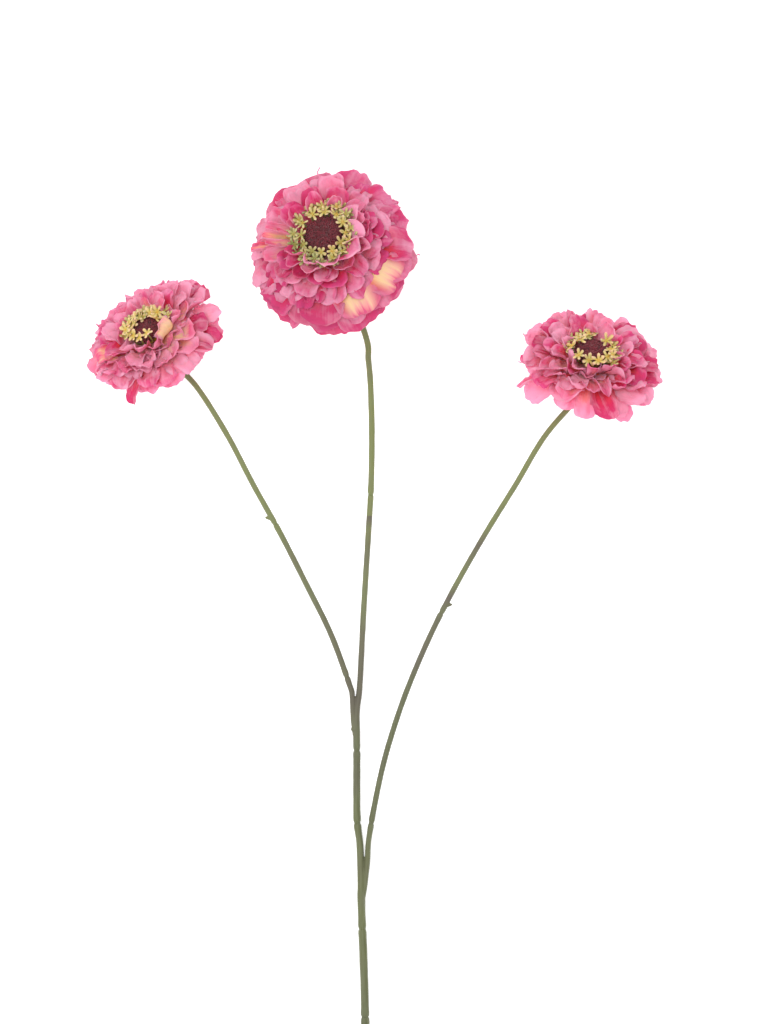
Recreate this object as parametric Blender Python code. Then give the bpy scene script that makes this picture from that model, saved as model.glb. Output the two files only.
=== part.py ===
"""An artificial zinnia spray: three cloth flower heads on one branching plastic stem.

The spray lies on a table, as a cut stem without a vase does. +Y runs along the stem to the
flowers, +Z is up from the table, and the origin is on the table under the middle of the spray.
Each head is a stack of die-cut cloth layers threaded on the peg of its dark disc, with a ring
of small plastic florets round the disc and a calyx behind. The stem is a row of moulded
sleeves threaded on steel wires. All lengths are in metres.
"""

import math
import random

import bmesh
import bpy
from mathutils import Matrix, Vector

MM = 0.001
CLEARANCE = 0.3 * MM          # between neighbouring pieces

# The stem: wires, and the plastic sleeves moulded round them.
MAIN_WIRE_RADIUS = 0.6 * MM
SIDE_WIRE_RADIUS = 0.5 * MM
BORE_CLEARANCE = 0.35 * MM
FOOT_RADIUS = 1.9 * MM        # below the lower fork
TRUNK_RADIUS = 1.7 * MM       # between the two forks
BRANCH_RADIUS = 1.35 * MM     # on the way to each head
SLEEVE_JOINT = 0.7 * MM       # the open ring between two sleeves
ROUTE_STEP = 12.0 * MM         # between the rings of a tube
FORK_OFFSET = 1.5 * MM        # from the main wire to the end of a side wire
ARM_TAIL = 2.5 * MM           # solid plastic at a fork before a side wire starts
BORE_RUN_ON = 1.0 * MM        # how far a boring tool runs past the end of its sleeve
STUB_LENGTH = 3.2 * MM        # what is left of a leaf on the stem
STUB_RADIUS = 1.1 * MM

# The stem routes, seen from above, in millimetres: X, then Y.
MAIN_ROUTE = (
    (-3.9, -251), (-4.6, -200), (-4.7, -147), (-5.5, -119), (-6.4, -98), (-7.1, -69),
    (-8.5, -55), (-8.6, -27), (-8.6, -6), (-7.2, 8), (-5.4, 43), (-3.2, 79), (-1.9, 102),
    (-1.5, 126), (-2.1, 149), (-3.1, 161), (-4.6, 173),
)
LEFT_ROUTE = (
    (-12.0, 8), (-20.8, 32), (-32.1, 55), (-44.3, 79), (-57.1, 102), (-69.7, 126), (-84.4, 149),
)
RIGHT_ROUTE = (
    (-2.6, -62), (2.8, -34), (8.6, -13), (16.0, 8), (26.3, 32), (38.0, 55), (51.7, 79),
    (65.9, 102), (80.4, 126),
)
MAIN_END_HEIGHT = 10.0 * MM   # of each stem's axis at the last point of its route
LEFT_END_HEIGHT = 16.5 * MM
RIGHT_END_HEIGHT = 15.0 * MM
LOWER_FORK_Y = -88 * MM
UPPER_FORK_Y = -9 * MM

# Where one sleeve ends and the next begins, as Y.
MAIN_JOINTS = (-148.5 * MM, -107 * MM, -57 * MM, -22.8 * MM, 97.8 * MM)
LEFT_JOINTS = (12 * MM, 84 * MM)
RIGHT_JOINTS = (-57 * MM, 42 * MM)

# Where the leaf stubs stand, as Y.
MAIN_STUB_Y = -14.5 * MM
LEFT_STUB_Y = 86.5 * MM
RIGHT_STUB_Y = 45.5 * MM

# The heads: cloth layers on a peg.
CLOTH = 0.35 * MM
HUB_STEP = 0.7 * MM           # from one layer's hub to the next
HUB_HOLE = 1.9 * MM
HUB_RADIUS = 4.5 * MM
PEG_RADIUS = 1.5 * MM
PETAL_CUP = 0.8 * MM          # how far a petal's sides stand above its midline
LAYER_TURN = 0.13             # radians from one layer to the next, besides the half pitch
WAIST = 0.5                   # where the rows of a petal's corners lie, from hub to tip
BROW = 0.85
PETAL_SHARE = 0.40            # half of a petal's width, as a share of the room it has
BASE_SHARE = 0.36
LENGTH_SPREAD = (0.98, 1.06)  # petals of one layer differ a little in length and in lift
LIFT_SPREAD = 0.3 * MM
OUTER_ANGLE = math.radians(-25)  # where on the dome the outermost petal tips hang
INNER_ANGLE = math.radians(63)   # how far up the dome the innermost petal tips sit

CALYX_DEPTH = 8.0 * MM
CALYX_RIM = 5.6 * MM
CALYX_NECK = 1.7 * MM
WIRE_SOCKET = 3.5 * MM
PEG_SOCKET = 3.0 * MM

FLORET_COUNT = 13
FLORET_RADIUS = 3.1 * MM
FLORET_LOBES = 5

HEADS = {
    "centre": {
        "place": (-19.7 * MM, 211.0 * MM),
        "lean": math.radians(27),
        "toward": (-0.45, 0.89),
        "radius": 39.0 * MM,
        "dome": 23.0 * MM,
        "skirt": 12.0 * MM,
        "hub_base": 8.0 * MM,
        "petals": (12, 12, 12, 12, 12, 11, 11, 10),
        "petal_width": 12.5 * MM,
        "disc_radius": 8.9 * MM,
    },
    "left": {
        "place": (-102.9 * MM, 169.2 * MM),
        "lean": math.radians(47),
        "toward": (-0.6, 0.8),
        "radius": 34.0 * MM,
        "dome": 13.0 * MM,
        "skirt": 5.0 * MM,
        "hub_base": 1.0 * MM,
        "petals": (12, 12, 11, 11, 10, 10),
        "petal_width": 11.0 * MM,
        "disc_radius": 7.6 * MM,
    },
    "right": {
        "place": (100.4 * MM, 157.6 * MM),
        "lean": math.radians(43),
        "toward": (0.17, 0.98),
        "radius": 34.5 * MM,
        "dome": 13.0 * MM,
        "skirt": 6.0 * MM,
        "hub_base": 1.0 * MM,
        "petals": (12, 12, 11, 11, 10, 10),
        "petal_width": 11.0 * MM,
        "disc_radius": 7.6 * MM,
    },
}

PINK = (0.70, 0.15, 0.26)
BURGUNDY = (0.12, 0.03, 0.04)
YELLOW_GREEN = (0.52, 0.55, 0.14)
STEM_GREEN = (0.20, 0.24, 0.09)
STEEL = (0.45, 0.45, 0.46)


# ---- Shared helpers ----

def clear_objects():
    """Remove whatever the opened file holds."""
    for thing in list(bpy.data.objects):
        bpy.data.objects.remove(thing, do_unlink=True)


def finish_object(thing, colour, roughness, metallic=0.0):
    """Link an object and give it a material of its own."""
    bpy.context.scene.collection.objects.link(thing)
    material = bpy.data.materials.new(thing.name)
    material.use_nodes = True
    shader = material.node_tree.nodes["Principled BSDF"]
    shader.inputs["Base Color"].default_value = (*colour, 1.0)
    shader.inputs["Roughness"].default_value = roughness
    shader.inputs["Metallic"].default_value = metallic
    thing.data.materials.append(material)
    return thing


def mesh_object(name, form, place=None):
    """Turn a bmesh into an object, moved by a matrix."""
    if place is not None:
        form.transform(place)
    mesh = bpy.data.meshes.new(name)
    form.to_mesh(mesh)
    form.free()
    return bpy.data.objects.new(name, mesh)


def turned(profile, sides):
    """Spin a closed (radius, height) outline round Z; points at radius 0 become poles."""
    form = bmesh.new()
    rings = []
    for radius, height in profile:
        if radius == 0:
            rings.append([form.verts.new((0, 0, height))] * sides)
            continue
        angles = [math.tau * step / sides for step in range(sides)]
        rings.append([form.verts.new((radius * math.cos(a), radius * math.sin(a), height))
                      for a in angles])
    for low, high in zip(rings, rings[1:]):
        for step in range(sides):
            after = (step + 1) % sides
            corners = [low[step], low[after], high[after], high[step]]
            form.faces.new(list(dict.fromkeys(corners)))
    bmesh.ops.recalc_face_normals(form, faces=form.faces)
    return form


# ---- The frame of each head ----

def head_axis(head):
    """The way the flower faces, as a unit vector."""
    side = Vector((*head["toward"], 0)).normalized() * math.sin(head["lean"])
    return Vector((side.x, side.y, math.cos(head["lean"])))


def head_matrix(head):
    """Put a head, modelled facing +Z, where it lies, its lowest petal on the table."""
    turn = Vector((0, 0, 1)).rotation_difference(head_axis(head)).to_matrix().to_4x4()
    lowest = 0.0
    for layer in range(len(head["petals"])):
        sheet = petal_sheet(head, layer)
        lowest = min([lowest] + [(turn @ vert.co).z for vert in sheet.verts])
        sheet.free()
    x, y = head["place"]
    return Matrix.Translation((x, y, CLOTH / 2 - lowest)) @ turn


def calyx_top(head):
    return head["hub_base"] - CLOTH / 2 - CLEARANCE


def calyx_bottom(head):
    return calyx_top(head) - CALYX_DEPTH


# ---- Petal layers ----

def petal_tip(head, angle):
    """Radius and height of a tip: on the dome above the widest plane, on the skirt below it."""
    if angle < 0:
        fall = math.sin(angle) / math.sin(-OUTER_ANGLE)
        return Vector((head["radius"] * math.cos(angle) ** 0.6, head["skirt"] * fall))
    return Vector((head["radius"] * math.cos(angle), head["dome"] * math.sin(angle)))


def petal_profile(head, layer, along):
    """Radius and height of a petal's midline, from its hub (0) to its tip (1)."""
    inward = layer / (len(head["petals"]) - 1)
    tip = petal_tip(head, OUTER_ANGLE + (INNER_ANGLE - OUTER_ANGLE) * inward)
    hub = Vector((HUB_RADIUS, head["hub_base"] + HUB_STEP * layer))
    bulge = max(hub.y + 2.0 * MM, hub.y + 0.3 * (tip.y - hub.y))
    middle = Vector(((0.95 - 0.2 * inward) * tip.x, bulge))
    back = 1 - along
    point = hub * back * back + middle * 2 * back * along + tip * along * along
    return point.x, point.y


def petal_half_width(head, count, along, radius):
    """Half of a petal's width, held clear of the next petal of its layer."""
    share = PETAL_SHARE if along > 0 else BASE_SHARE
    return min(share * math.tau * radius / count, head["petal_width"] / 2)


def petal_sheet(head, layer):
    """One die-cut layer: a hub washer with its ring of petals, as a sheet without thickness."""
    count = head["petals"][layer]
    pitch = math.tau / count
    turn = pitch * 0.5 * (layer % 2) + LAYER_TURN * layer
    jitter = random.Random(100 * len(head["petals"]) + layer)
    hub_height = head["hub_base"] + HUB_STEP * layer
    form = bmesh.new()

    def corner(angle, along, across, stretch, lift):
        radius, height = petal_profile(head, layer, along)
        side = across * petal_half_width(head, count, along, radius)
        radius *= 1 + (stretch - 1) * along
        height += PETAL_CUP * (across * along) ** 2 + lift * along ** 3
        return form.verts.new((radius * math.cos(angle) - side * math.sin(angle),
                               radius * math.sin(angle) + side * math.cos(angle), height))

    hole = [form.verts.new((HUB_HOLE * math.cos(turn + pitch * step),
                            HUB_HOLE * math.sin(turn + pitch * step), hub_height))
            for step in range(count)]
    bases = []
    for step in range(count):
        angle = turn + pitch * step
        stretch = jitter.uniform(*LENGTH_SPREAD)
        lift = jitter.uniform(-LIFT_SPREAD, LIFT_SPREAD)
        base = [corner(angle, 0, side, 1, 0) for side in (-1, 1)]
        waist = [corner(angle, WAIST, side, stretch, lift) for side in (-1, 0, 1)]
        brow = [corner(angle, BROW, BROW * side, stretch, lift) for side in (-1, 0, 1)]
        tip = corner(angle, 1, 0, stretch, lift)
        form.faces.new((base[0], waist[0], waist[1]))
        form.faces.new((base[0], waist[1], base[1]))
        form.faces.new((base[1], waist[1], waist[2]))
        for side in (0, 1):
            form.faces.new((waist[side], brow[side], brow[side + 1]))
            form.faces.new((waist[side], brow[side + 1], waist[side + 1]))
            form.faces.new((brow[side], tip, brow[side + 1]))
        form.faces.new((hole[step], base[0], base[1]))
        bases.append(base)
    for step in range(count):
        after = (step + 1) % count
        form.faces.new((hole[step], bases[step][1], bases[after][0]))
        form.faces.new((hole[step], bases[after][0], hole[after]))
    bmesh.ops.recalc_face_normals(form, faces=form.faces)
    return form


def thicken(thing, thickness):
    solidify = thing.modifiers.new("thickness", "SOLIDIFY")
    solidify.thickness = thickness
    solidify.offset = 0


def petal_layers(name, head, place):
    """Every cloth layer of one head, the outermost first."""
    for layer in range(len(head["petals"])):
        thing = mesh_object(f"{name}_petals_{layer + 1}", petal_sheet(head, layer), place)
        thicken(thing, CLOTH)
        finish_object(thing, PINK, 0.75)


# ---- Disc, florets and calyx ----

def stack_top(head):
    """Height of the floret ring's hub, just above the innermost petals' hub."""
    return head["hub_base"] + HUB_STEP * len(head["petals"])


def disc(name, head, place):
    """The dark button in the middle, with the peg that carries the whole head."""
    under = stack_top(head) + HUB_STEP
    top = head["dome"]
    wide = head["disc_radius"]
    peg_end = calyx_top(head) - PEG_SOCKET + CLEARANCE
    profile = (
        (0, peg_end), (PEG_RADIUS, peg_end), (PEG_RADIUS, under), (0.5 * wide, under + 0.6 * MM),
        (0.94 * wide, top - 4.2 * MM), (wide, top - 2.6 * MM), (0.86 * wide, top - 1.2 * MM),
        (0.5 * wide, top - 0.2 * MM), (0, top),
    )
    thing = mesh_object(f"{name}_disc", turned(profile, 16), place)
    finish_object(thing, BURGUNDY, 0.95)
    thing.data.shade_smooth()


def floret_ring(name, head, place):
    """A moulded ring of small stars on upright strips, in two staggered rows."""
    hub = stack_top(head)
    rim = head["disc_radius"]
    star_height = head["dome"] + 0.5 * MM
    half_strip = 0.55 * MM
    notch = 0.48 * FLORET_RADIUS
    pitch = math.tau / FLORET_COUNT
    form = bmesh.new()

    def corner(angle, radius, side, height):
        return form.verts.new((radius * math.cos(angle) - side * math.sin(angle),
                               radius * math.sin(angle) + side * math.cos(angle), height))

    hole = [corner(pitch * step, HUB_HOLE, 0, hub) for step in range(FLORET_COUNT)]
    feet = []
    for step in range(FLORET_COUNT):
        angle = pitch * step
        middle = rim + (2.9 + 2.3 * (step % 2)) * MM
        foot = [corner(angle, HUB_RADIUS, side, hub) for side in (-half_strip, half_strip)]
        knee = [corner(angle, rim + 0.4 * MM, side, hub + 2.6 * MM)
                for side in (-half_strip, half_strip)]
        neck = [corner(angle, middle - notch, side, star_height)
                for side in (-half_strip, half_strip)]
        star = []
        for point in range(1, 2 * FLORET_LOBES):
            turn = math.pi - math.pi * point / FLORET_LOBES
            reach = FLORET_RADIUS if point % 2 else notch
            star.append(corner(angle, middle + reach * math.cos(turn), reach * math.sin(turn),
                               star_height - 0.25 * reach * math.cos(turn)))
        form.faces.new((foot[0], knee[0], knee[1], foot[1]))
        form.faces.new((knee[0], neck[0], neck[1], knee[1]))
        form.faces.new([neck[0], neck[1]] + star)
        form.faces.new((hole[step], foot[0], foot[1]))
        feet.append(foot)
    for step in range(FLORET_COUNT):
        after = (step + 1) % FLORET_COUNT
        form.faces.new((hole[step], feet[step][1], feet[after][0], hole[after]))
    bmesh.ops.recalc_face_normals(form, faces=form.faces)
    bmesh.ops.triangulate(form, faces=form.faces)
    thing = mesh_object(f"{name}_floret_ring", form, place)
    thicken(thing, CLOTH)
    finish_object(thing, YELLOW_GREEN, 0.5)


def calyx(name, head, place):
    """The plastic cup behind the petals: the peg goes in its front, the wire in its back."""
    top = calyx_top(head)
    bottom = calyx_bottom(head)
    socket = wire_bore(name)
    profile = (
        (0, bottom + WIRE_SOCKET), (socket, bottom + WIRE_SOCKET), (socket, bottom),
        (CALYX_NECK, bottom), (CALYX_NECK + 0.5 * MM, bottom + 1.5 * MM),
        (0.72 * CALYX_RIM, bottom + 0.6 * CALYX_DEPTH), (CALYX_RIM, top - 0.6 * MM),
        (CALYX_RIM, top), (HUB_HOLE, top), (HUB_HOLE, top - PEG_SOCKET), (0, top - PEG_SOCKET),
    )
    thing = mesh_object(f"{name}_calyx", turned(profile, 12), place)
    finish_object(thing, STEM_GREEN, 0.5)
    thing.data.shade_smooth()
    thing.data.set_sharp_from_angle(angle=math.radians(40))


# ---- Stem ----

def wire_radius(name):
    return MAIN_WIRE_RADIUS if name == "centre" else SIDE_WIRE_RADIUS


def wire_bore(name):
    return wire_radius(name) + BORE_CLEARANCE


def curve_through(points, step):
    """Evenly spaced points on a smooth curve through a route's own points."""
    ends = [2 * points[0] - points[1]] + points + [2 * points[-1] - points[-2]]
    smooth = [points[0]]
    for a, b, c, d in zip(ends, ends[1:], ends[2:], ends[3:]):
        pieces = max(1, round((c - b).length / step))
        for piece in range(1, pieces + 1):
            t = piece / pieces
            smooth.append(0.5 * (2 * b + (c - a) * t + (2 * a - 5 * b + 4 * c - d) * t * t
                                 + (3 * b - a - 3 * c + d) * t * t * t))
    return smooth


def neck_points(head, place):
    """The last points of a stem: straight along the head's axis to its calyx."""
    back = calyx_bottom(head)
    return [place @ Vector((0, 0, back - reach)) for reach in (9 * MM, 4 * MM, 0)]


def stem_path(route, fork_y, start_height, end_height, neck):
    """A stem lies on the table up to its fork, rises evenly and turns up into its head."""
    high = route[-1][1] * MM
    points = []
    for x, y in route:
        rise = max(0.0, (y * MM - fork_y) / (high - fork_y))
        points.append(Vector((x * MM, y * MM, start_height + rise * (end_height - start_height))))
    return curve_through(points + neck, ROUTE_STEP)


def crossing(path, y):
    """The point of a path at one Y."""
    for a, b in zip(path, path[1:]):
        if a.y <= y <= b.y:
            return a.lerp(b, (y - a.y) / (b.y - a.y))
    return path[-1] if y > path[-1].y else path[0]


def stretch(path, low, high):
    """The part of a path between two values of Y."""
    start = crossing(path, low)
    end = crossing(path, high)
    margin = 0.5 * MM
    inner = [p for p in path if start.y + margin < p.y < end.y - margin]
    return [start] + inner + [end]


def tube_mesh(name, path, radii, resolution):
    """A round bar along a path, with filled ends, as a mesh object that isn't linked yet."""
    curve = bpy.data.curves.new(name, "CURVE")
    curve.dimensions = "3D"
    curve.bevel_depth = 1.0
    curve.bevel_resolution = resolution
    curve.use_fill_caps = True
    spline = curve.splines.new("POLY")
    spline.points.add(len(path) - 1)
    for point, place, radius in zip(spline.points, path, radii):
        point.co = (*place, 1)
        point.radius = radius
    guide = bpy.data.objects.new(name + "_guide", curve)
    bpy.context.scene.collection.objects.link(guide)
    graph = bpy.context.evaluated_depsgraph_get()
    mesh = bpy.data.meshes.new_from_object(guide.evaluated_get(graph))
    bpy.data.objects.remove(guide, do_unlink=True)
    form = bmesh.new()
    form.from_mesh(mesh)
    bmesh.ops.remove_doubles(form, verts=form.verts, dist=0.00001)
    bmesh.ops.recalc_face_normals(form, faces=form.faces)
    form.to_mesh(mesh)
    form.free()
    mesh.name = name
    return bpy.data.objects.new(name, mesh)


def as_tool(thing, owner, operation):
    """Use one object as a hidden Boolean tool on another."""
    bpy.context.scene.collection.objects.link(thing)
    thing.hide_render = True
    thing.display_type = "WIRE"
    boolean = owner.modifiers.new(thing.name, "BOOLEAN")
    boolean.operation = operation
    boolean.solver = "EXACT"
    boolean.object = thing


def outer_radius(y):
    """The main stem is thickest at its foot and steps down past each fork."""
    if y < LOWER_FORK_Y:
        return FOOT_RADIUS
    return TRUNK_RADIUS if y < UPPER_FORK_Y else BRANCH_RADIUS


def sleeve(name, path, low, high, radius_at, bore):
    """One moulded sleeve: a bar along the path with the wire's way bored through it."""
    part = stretch(path, low, high)
    thing = tube_mesh(name, part, [radius_at(p.y) for p in part], 2)
    finish_object(thing, STEM_GREEN, 0.5)
    way = bore_path(part, BORE_RUN_ON)
    as_tool(tube_mesh(name + "_bore", way, [bore] * len(way), 1), thing, "DIFFERENCE")
    thing.data.shade_smooth()
    return thing


def bore_path(part, extra):
    """A path run on past both its ends."""
    start = part[0] - (part[1] - part[0]).normalized() * extra
    end = part[-1] + (part[-1] - part[-2]).normalized() * extra
    return [start] + part[1:-1] + [end]


def leaf_stub(owner, path, y, side):
    """The short pointed stub that a leaf leaves on a sleeve."""
    root = crossing(path, y)
    along = (crossing(path, y + STUB_LENGTH) - root).normalized()
    out = along.cross(Vector((0, 0, 1))).normalized() * side
    aim = (out * 0.8 + along * 0.6).normalized()
    form = bmesh.new()
    bmesh.ops.create_cone(form, cap_ends=True, segments=8, radius1=STUB_RADIUS,
                          radius2=0.35 * STUB_RADIUS, depth=STUB_LENGTH)
    turn = Vector((0, 0, 1)).rotation_difference(aim).to_matrix().to_4x4()
    stub = mesh_object(owner.name + "_stub", form,
                       Matrix.Translation(root + aim * (STUB_LENGTH / 2 + 0.3 * MM)) @ turn)
    as_tool(stub, owner, "UNION")
    owner.modifiers.move(len(owner.modifiers) - 1, 0)


def add_arm(owner, path, high, bore):
    """Join the first stretch of a side branch to a fork sleeve, with its own wire way."""
    part = stretch(path, path[0].y, high)
    arm = tube_mesh(owner.name + "_arm", part, [BRANCH_RADIUS] * len(part), 2)
    as_tool(arm, owner, "UNION")
    owner.modifiers.move(len(owner.modifiers) - 1, 0)
    way = bore_path(stretch(path, path[0].y + ARM_TAIL, high), BORE_RUN_ON / 2)
    as_tool(tube_mesh(owner.name + "_arm_bore", way, [bore] * len(way), 1), owner, "DIFFERENCE")


def wire(name, path, start, radius):
    """A steel wire from its start to the bottom of its socket in the calyx."""
    end = path[-1] + (path[-1] - path[-2]).normalized() * (WIRE_SOCKET - CLEARANCE)
    part = stretch(path, start, path[-1].y)
    thing = tube_mesh(name, part[:-1] + [end], [radius] * len(part), 1)
    finish_object(thing, STEEL, 0.35, 1.0)
    thing.data.shade_smooth()


def side_route(route, main_path, fork_y, side):
    """A side branch starts beside the main wire at its fork."""
    root = crossing(main_path, fork_y)
    beside = crossing(main_path, fork_y + 12 * MM)
    starts = [((point.x + side * spread * FORK_OFFSET) / MM, point.y / MM)
              for point, spread in ((root, 1.0), (beside, 2.1))]
    return (*starts, *route)


def sleeve_ends(path, joints, head):
    """Low and high Y of each sleeve along a stem, with an open ring between two sleeves."""
    last = path[-1].y - CLEARANCE * head_axis(head).y
    starts = [joints[0]] + [y + SLEEVE_JOINT / 2 for y in joints[1:]]
    ends = [y - SLEEVE_JOINT / 2 for y in joints[1:]] + [last]
    return list(zip(starts, ends))


def main_stem(path):
    """The sleeves from the cut end to the middle head, on one wire."""
    wire("main_wire", path, path[0].y, MAIN_WIRE_RADIUS)
    names = ("foot_sleeve", "lower_sleeve", "lower_fork", "trunk_sleeve", "upper_fork",
             "centre_sleeve")
    ends = sleeve_ends(path, (path[0].y,) + MAIN_JOINTS, HEADS["centre"])
    return {name: sleeve(name, path, low, high, outer_radius, wire_bore("centre"))
            for name, (low, high) in zip(names, ends)}


def side_branch(side, path, joints, fork):
    """A side branch: its arm on the fork sleeve, then two sleeves of its own, on one wire."""
    wire(f"{side}_wire", path, path[0].y + ARM_TAIL, SIDE_WIRE_RADIUS)
    bore = wire_bore(side)
    add_arm(fork, path, joints[0] - SLEEVE_JOINT / 2, bore)
    first = joints[0] + SLEEVE_JOINT / 2
    ends = sleeve_ends(path, (first,) + joints[1:], HEADS[side])
    return [sleeve(f"{side}_{part}_sleeve", path, low, high, lambda y: BRANCH_RADIUS, bore)
            for part, (low, high) in zip(("lower", "upper"), ends)]


def stem(places):
    """The main stem to the middle head, the two side branches and the leaf stubs."""
    necks = {name: neck_points(head, places[name]) for name, head in HEADS.items()}
    main = stem_path(MAIN_ROUTE, LOWER_FORK_Y, FOOT_RADIUS, MAIN_END_HEIGHT, necks["centre"])
    left = stem_path(side_route(LEFT_ROUTE, main, UPPER_FORK_Y, -1), UPPER_FORK_Y,
                     crossing(main, UPPER_FORK_Y).z, LEFT_END_HEIGHT, necks["left"])
    right = stem_path(side_route(RIGHT_ROUTE, main, LOWER_FORK_Y, 1), LOWER_FORK_Y,
                      crossing(main, LOWER_FORK_Y).z, RIGHT_END_HEIGHT, necks["right"])
    sleeves = main_stem(main)
    left_sleeves = side_branch("left", left, LEFT_JOINTS, sleeves["upper_fork"])
    right_sleeves = side_branch("right", right, RIGHT_JOINTS, sleeves["lower_fork"])
    leaf_stub(sleeves["upper_fork"], main, MAIN_STUB_Y, -1)
    leaf_stub(left_sleeves[-1], left, LEFT_STUB_Y, -1)
    leaf_stub(right_sleeves[-1], right, RIGHT_STUB_Y, 1)


# ---- The whole spray ----

def build():
    clear_objects()
    places = {}
    for name, head in HEADS.items():
        places[name] = head_matrix(head)
        petal_layers(name, head, places[name])
        floret_ring(name, head, places[name])
        disc(name, head, places[name])
        calyx(name, head, places[name])
    stem(places)


build()
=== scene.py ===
# %% [markdown]
# # An artificial zinnia spray
# Three cloth flower heads stand on one branching plastic stem, and the spray lies on a table.
# The imported CAD model fixes where everything is and how big it is. This script gives every
# part its real surface: cloth petals that are cut, pressed and crumpled, a flocked disc,
# small moulded florets, a scaly calyx and a stem of moulded sleeves.
#
# The first cell loads that model. Nothing in it is moved. Its box is kept, and the table and
# the lowest petals are set by it.

import math
import random

import bmesh
import bpy
import numpy as np
from mathutils import Matrix, Vector, noise


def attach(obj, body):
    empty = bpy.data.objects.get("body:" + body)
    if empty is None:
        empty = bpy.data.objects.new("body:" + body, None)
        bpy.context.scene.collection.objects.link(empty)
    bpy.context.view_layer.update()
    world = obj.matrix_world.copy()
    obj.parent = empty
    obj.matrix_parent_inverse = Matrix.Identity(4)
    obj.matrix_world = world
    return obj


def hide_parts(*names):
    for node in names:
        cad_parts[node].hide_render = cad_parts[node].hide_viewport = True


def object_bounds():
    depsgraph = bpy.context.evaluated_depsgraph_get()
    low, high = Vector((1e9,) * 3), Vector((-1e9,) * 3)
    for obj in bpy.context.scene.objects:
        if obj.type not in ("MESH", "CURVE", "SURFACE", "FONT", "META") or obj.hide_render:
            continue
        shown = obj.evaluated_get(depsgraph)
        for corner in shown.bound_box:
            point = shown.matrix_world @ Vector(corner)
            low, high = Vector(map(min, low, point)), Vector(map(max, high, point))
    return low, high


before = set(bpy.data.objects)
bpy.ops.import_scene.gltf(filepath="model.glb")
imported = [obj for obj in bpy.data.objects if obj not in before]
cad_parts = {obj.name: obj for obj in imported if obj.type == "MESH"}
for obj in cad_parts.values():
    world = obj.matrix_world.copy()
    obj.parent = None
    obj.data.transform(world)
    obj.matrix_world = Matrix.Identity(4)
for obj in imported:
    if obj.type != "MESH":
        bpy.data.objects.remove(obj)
cad_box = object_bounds()
MM = 0.001
print("the spray measures", [round(size / MM, 1) for size in cad_box[1] - cad_box[0]], "mm")

# %% [markdown]
# ## Where each head is
# A head is easiest to build as if it faced straight up, in millimetres round its own axis,
# and then to set it in place with one matrix. The sizes here are the ones that the CAD solids
# were drawn with. The axis could be typed in as well, but it is safer to measure it: it runs
# from the middle of the calyx to the middle of the disc, and the top of the disc lies one
# dome height above the widest plane of the head.

# %% Sizes and places of the heads
# The sizes are in millimetres. Pale lightens the pink of a whole head, most in its outer layers,
# and cool sets its colour balance. Wild is how far its petals stray, doubled is the first layer
# with a second ring, and petals gives the number in one ring of each layer, from the outermost
# layer inwards.
HEADS = {
    "centre": dict(radius=39.0, dome=23.0, skirt=12.0, hub_base=8.0, disc=8.9, pale=0.0,
                   cool=1.0, wild=1.0, doubled=2, petals=(12, 12, 12, 12, 12, 11, 11, 10)),
    "left": dict(radius=34.0, dome=13.0, skirt=5.0, hub_base=1.0, disc=7.6, pale=0.5,
                 cool=0.0, wild=1.3, doubled=1, petals=(12, 12, 11, 11, 10, 10)),
    "right": dict(radius=34.5, dome=13.0, skirt=6.0, hub_base=1.0, disc=7.6, pale=0.48,
                  cool=0.0, wild=1.3, doubled=2, petals=(12, 12, 11, 11, 10, 10)),
}


def node_points(name):
    """The corners of a CAD node, in metres."""
    return [vert.co.copy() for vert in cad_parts[name].data.vertices]


def middle_of(points):
    return sum(points, Vector()) / len(points)


for name, head in HEADS.items():
    disc_points = node_points(f"{name}_disc")
    disc_middle = middle_of(disc_points)
    axis = (disc_middle - middle_of(node_points(f"{name}_calyx"))).normalized()
    disc_top = max((point - disc_middle).dot(axis) for point in disc_points)
    widest = disc_middle + axis * (disc_top - head["dome"] * MM)
    turn = Vector((0, 0, 1)).rotation_difference(axis).to_matrix().to_4x4()
    head["place"] = Matrix.Translation(widest) @ turn @ Matrix.Scale(MM, 4)
    print(name, "head leans", round(math.degrees(axis.angle((0, 0, 1))), 1), "degrees")

# %% [markdown]
# ## Camera
# The spray is looked at from straight above. A short lens close by would show the raised heads
# too large beside the stems, so the camera stands far away and has a long lens, which keeps
# the heads nearly the size that they have on the table.

# %% Camera
VIEW_HEIGHT = 0.4813          # how much of the table the picture shows from top to bottom
VIEW_CENTRE = (0.0042, 0.0895)
SHARP_HEIGHT = 0.018          # the level, between stems and heads, that is shown at that size
LENS = 400
SENSOR = 36
camera_data = bpy.data.cameras.new("camera")
camera_data.lens = LENS
camera_data.sensor_width = SENSOR
camera = bpy.data.objects.new("camera", camera_data)
distance = VIEW_HEIGHT * LENS / SENSOR
camera.location = (*VIEW_CENTRE, SHARP_HEIGHT + distance)
bpy.context.scene.collection.objects.link(camera)
bpy.context.scene.camera = camera
print("camera", round(distance, 3), "m above the heads")

# %% [markdown]
# ## A short way to write materials
# Every finish below is a small network of shader nodes. The first helpers add a node and fill
# its sockets, which take either a plain value or the output of another node. The others are
# the few steps that every finish is made of: a sum, a mix, a ramp, a remapped number, a noise.

# %% Material helpers
def new_material(name):
    """An empty material and its node tree."""
    material = bpy.data.materials.new(name)
    material.use_nodes = True
    material.node_tree.nodes.clear()
    return material, material.node_tree


def set_socket(tree, socket, value):
    """Link a socket to another node's output, or give it a plain value."""
    if isinstance(value, bpy.types.NodeSocket):
        tree.links.new(value, socket)
    else:
        socket.default_value = value


def add(tree, kind, settings=None, **sockets):
    """Add a node. Socket names are written with _ for each space."""
    node = tree.nodes.new("ShaderNode" + kind)
    for setting, value in (settings or {}).items():
        setattr(node, setting, value)
    for socket, value in sockets.items():
        set_socket(tree, node.inputs[socket.replace("_", " ")], value)
    return node


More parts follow.
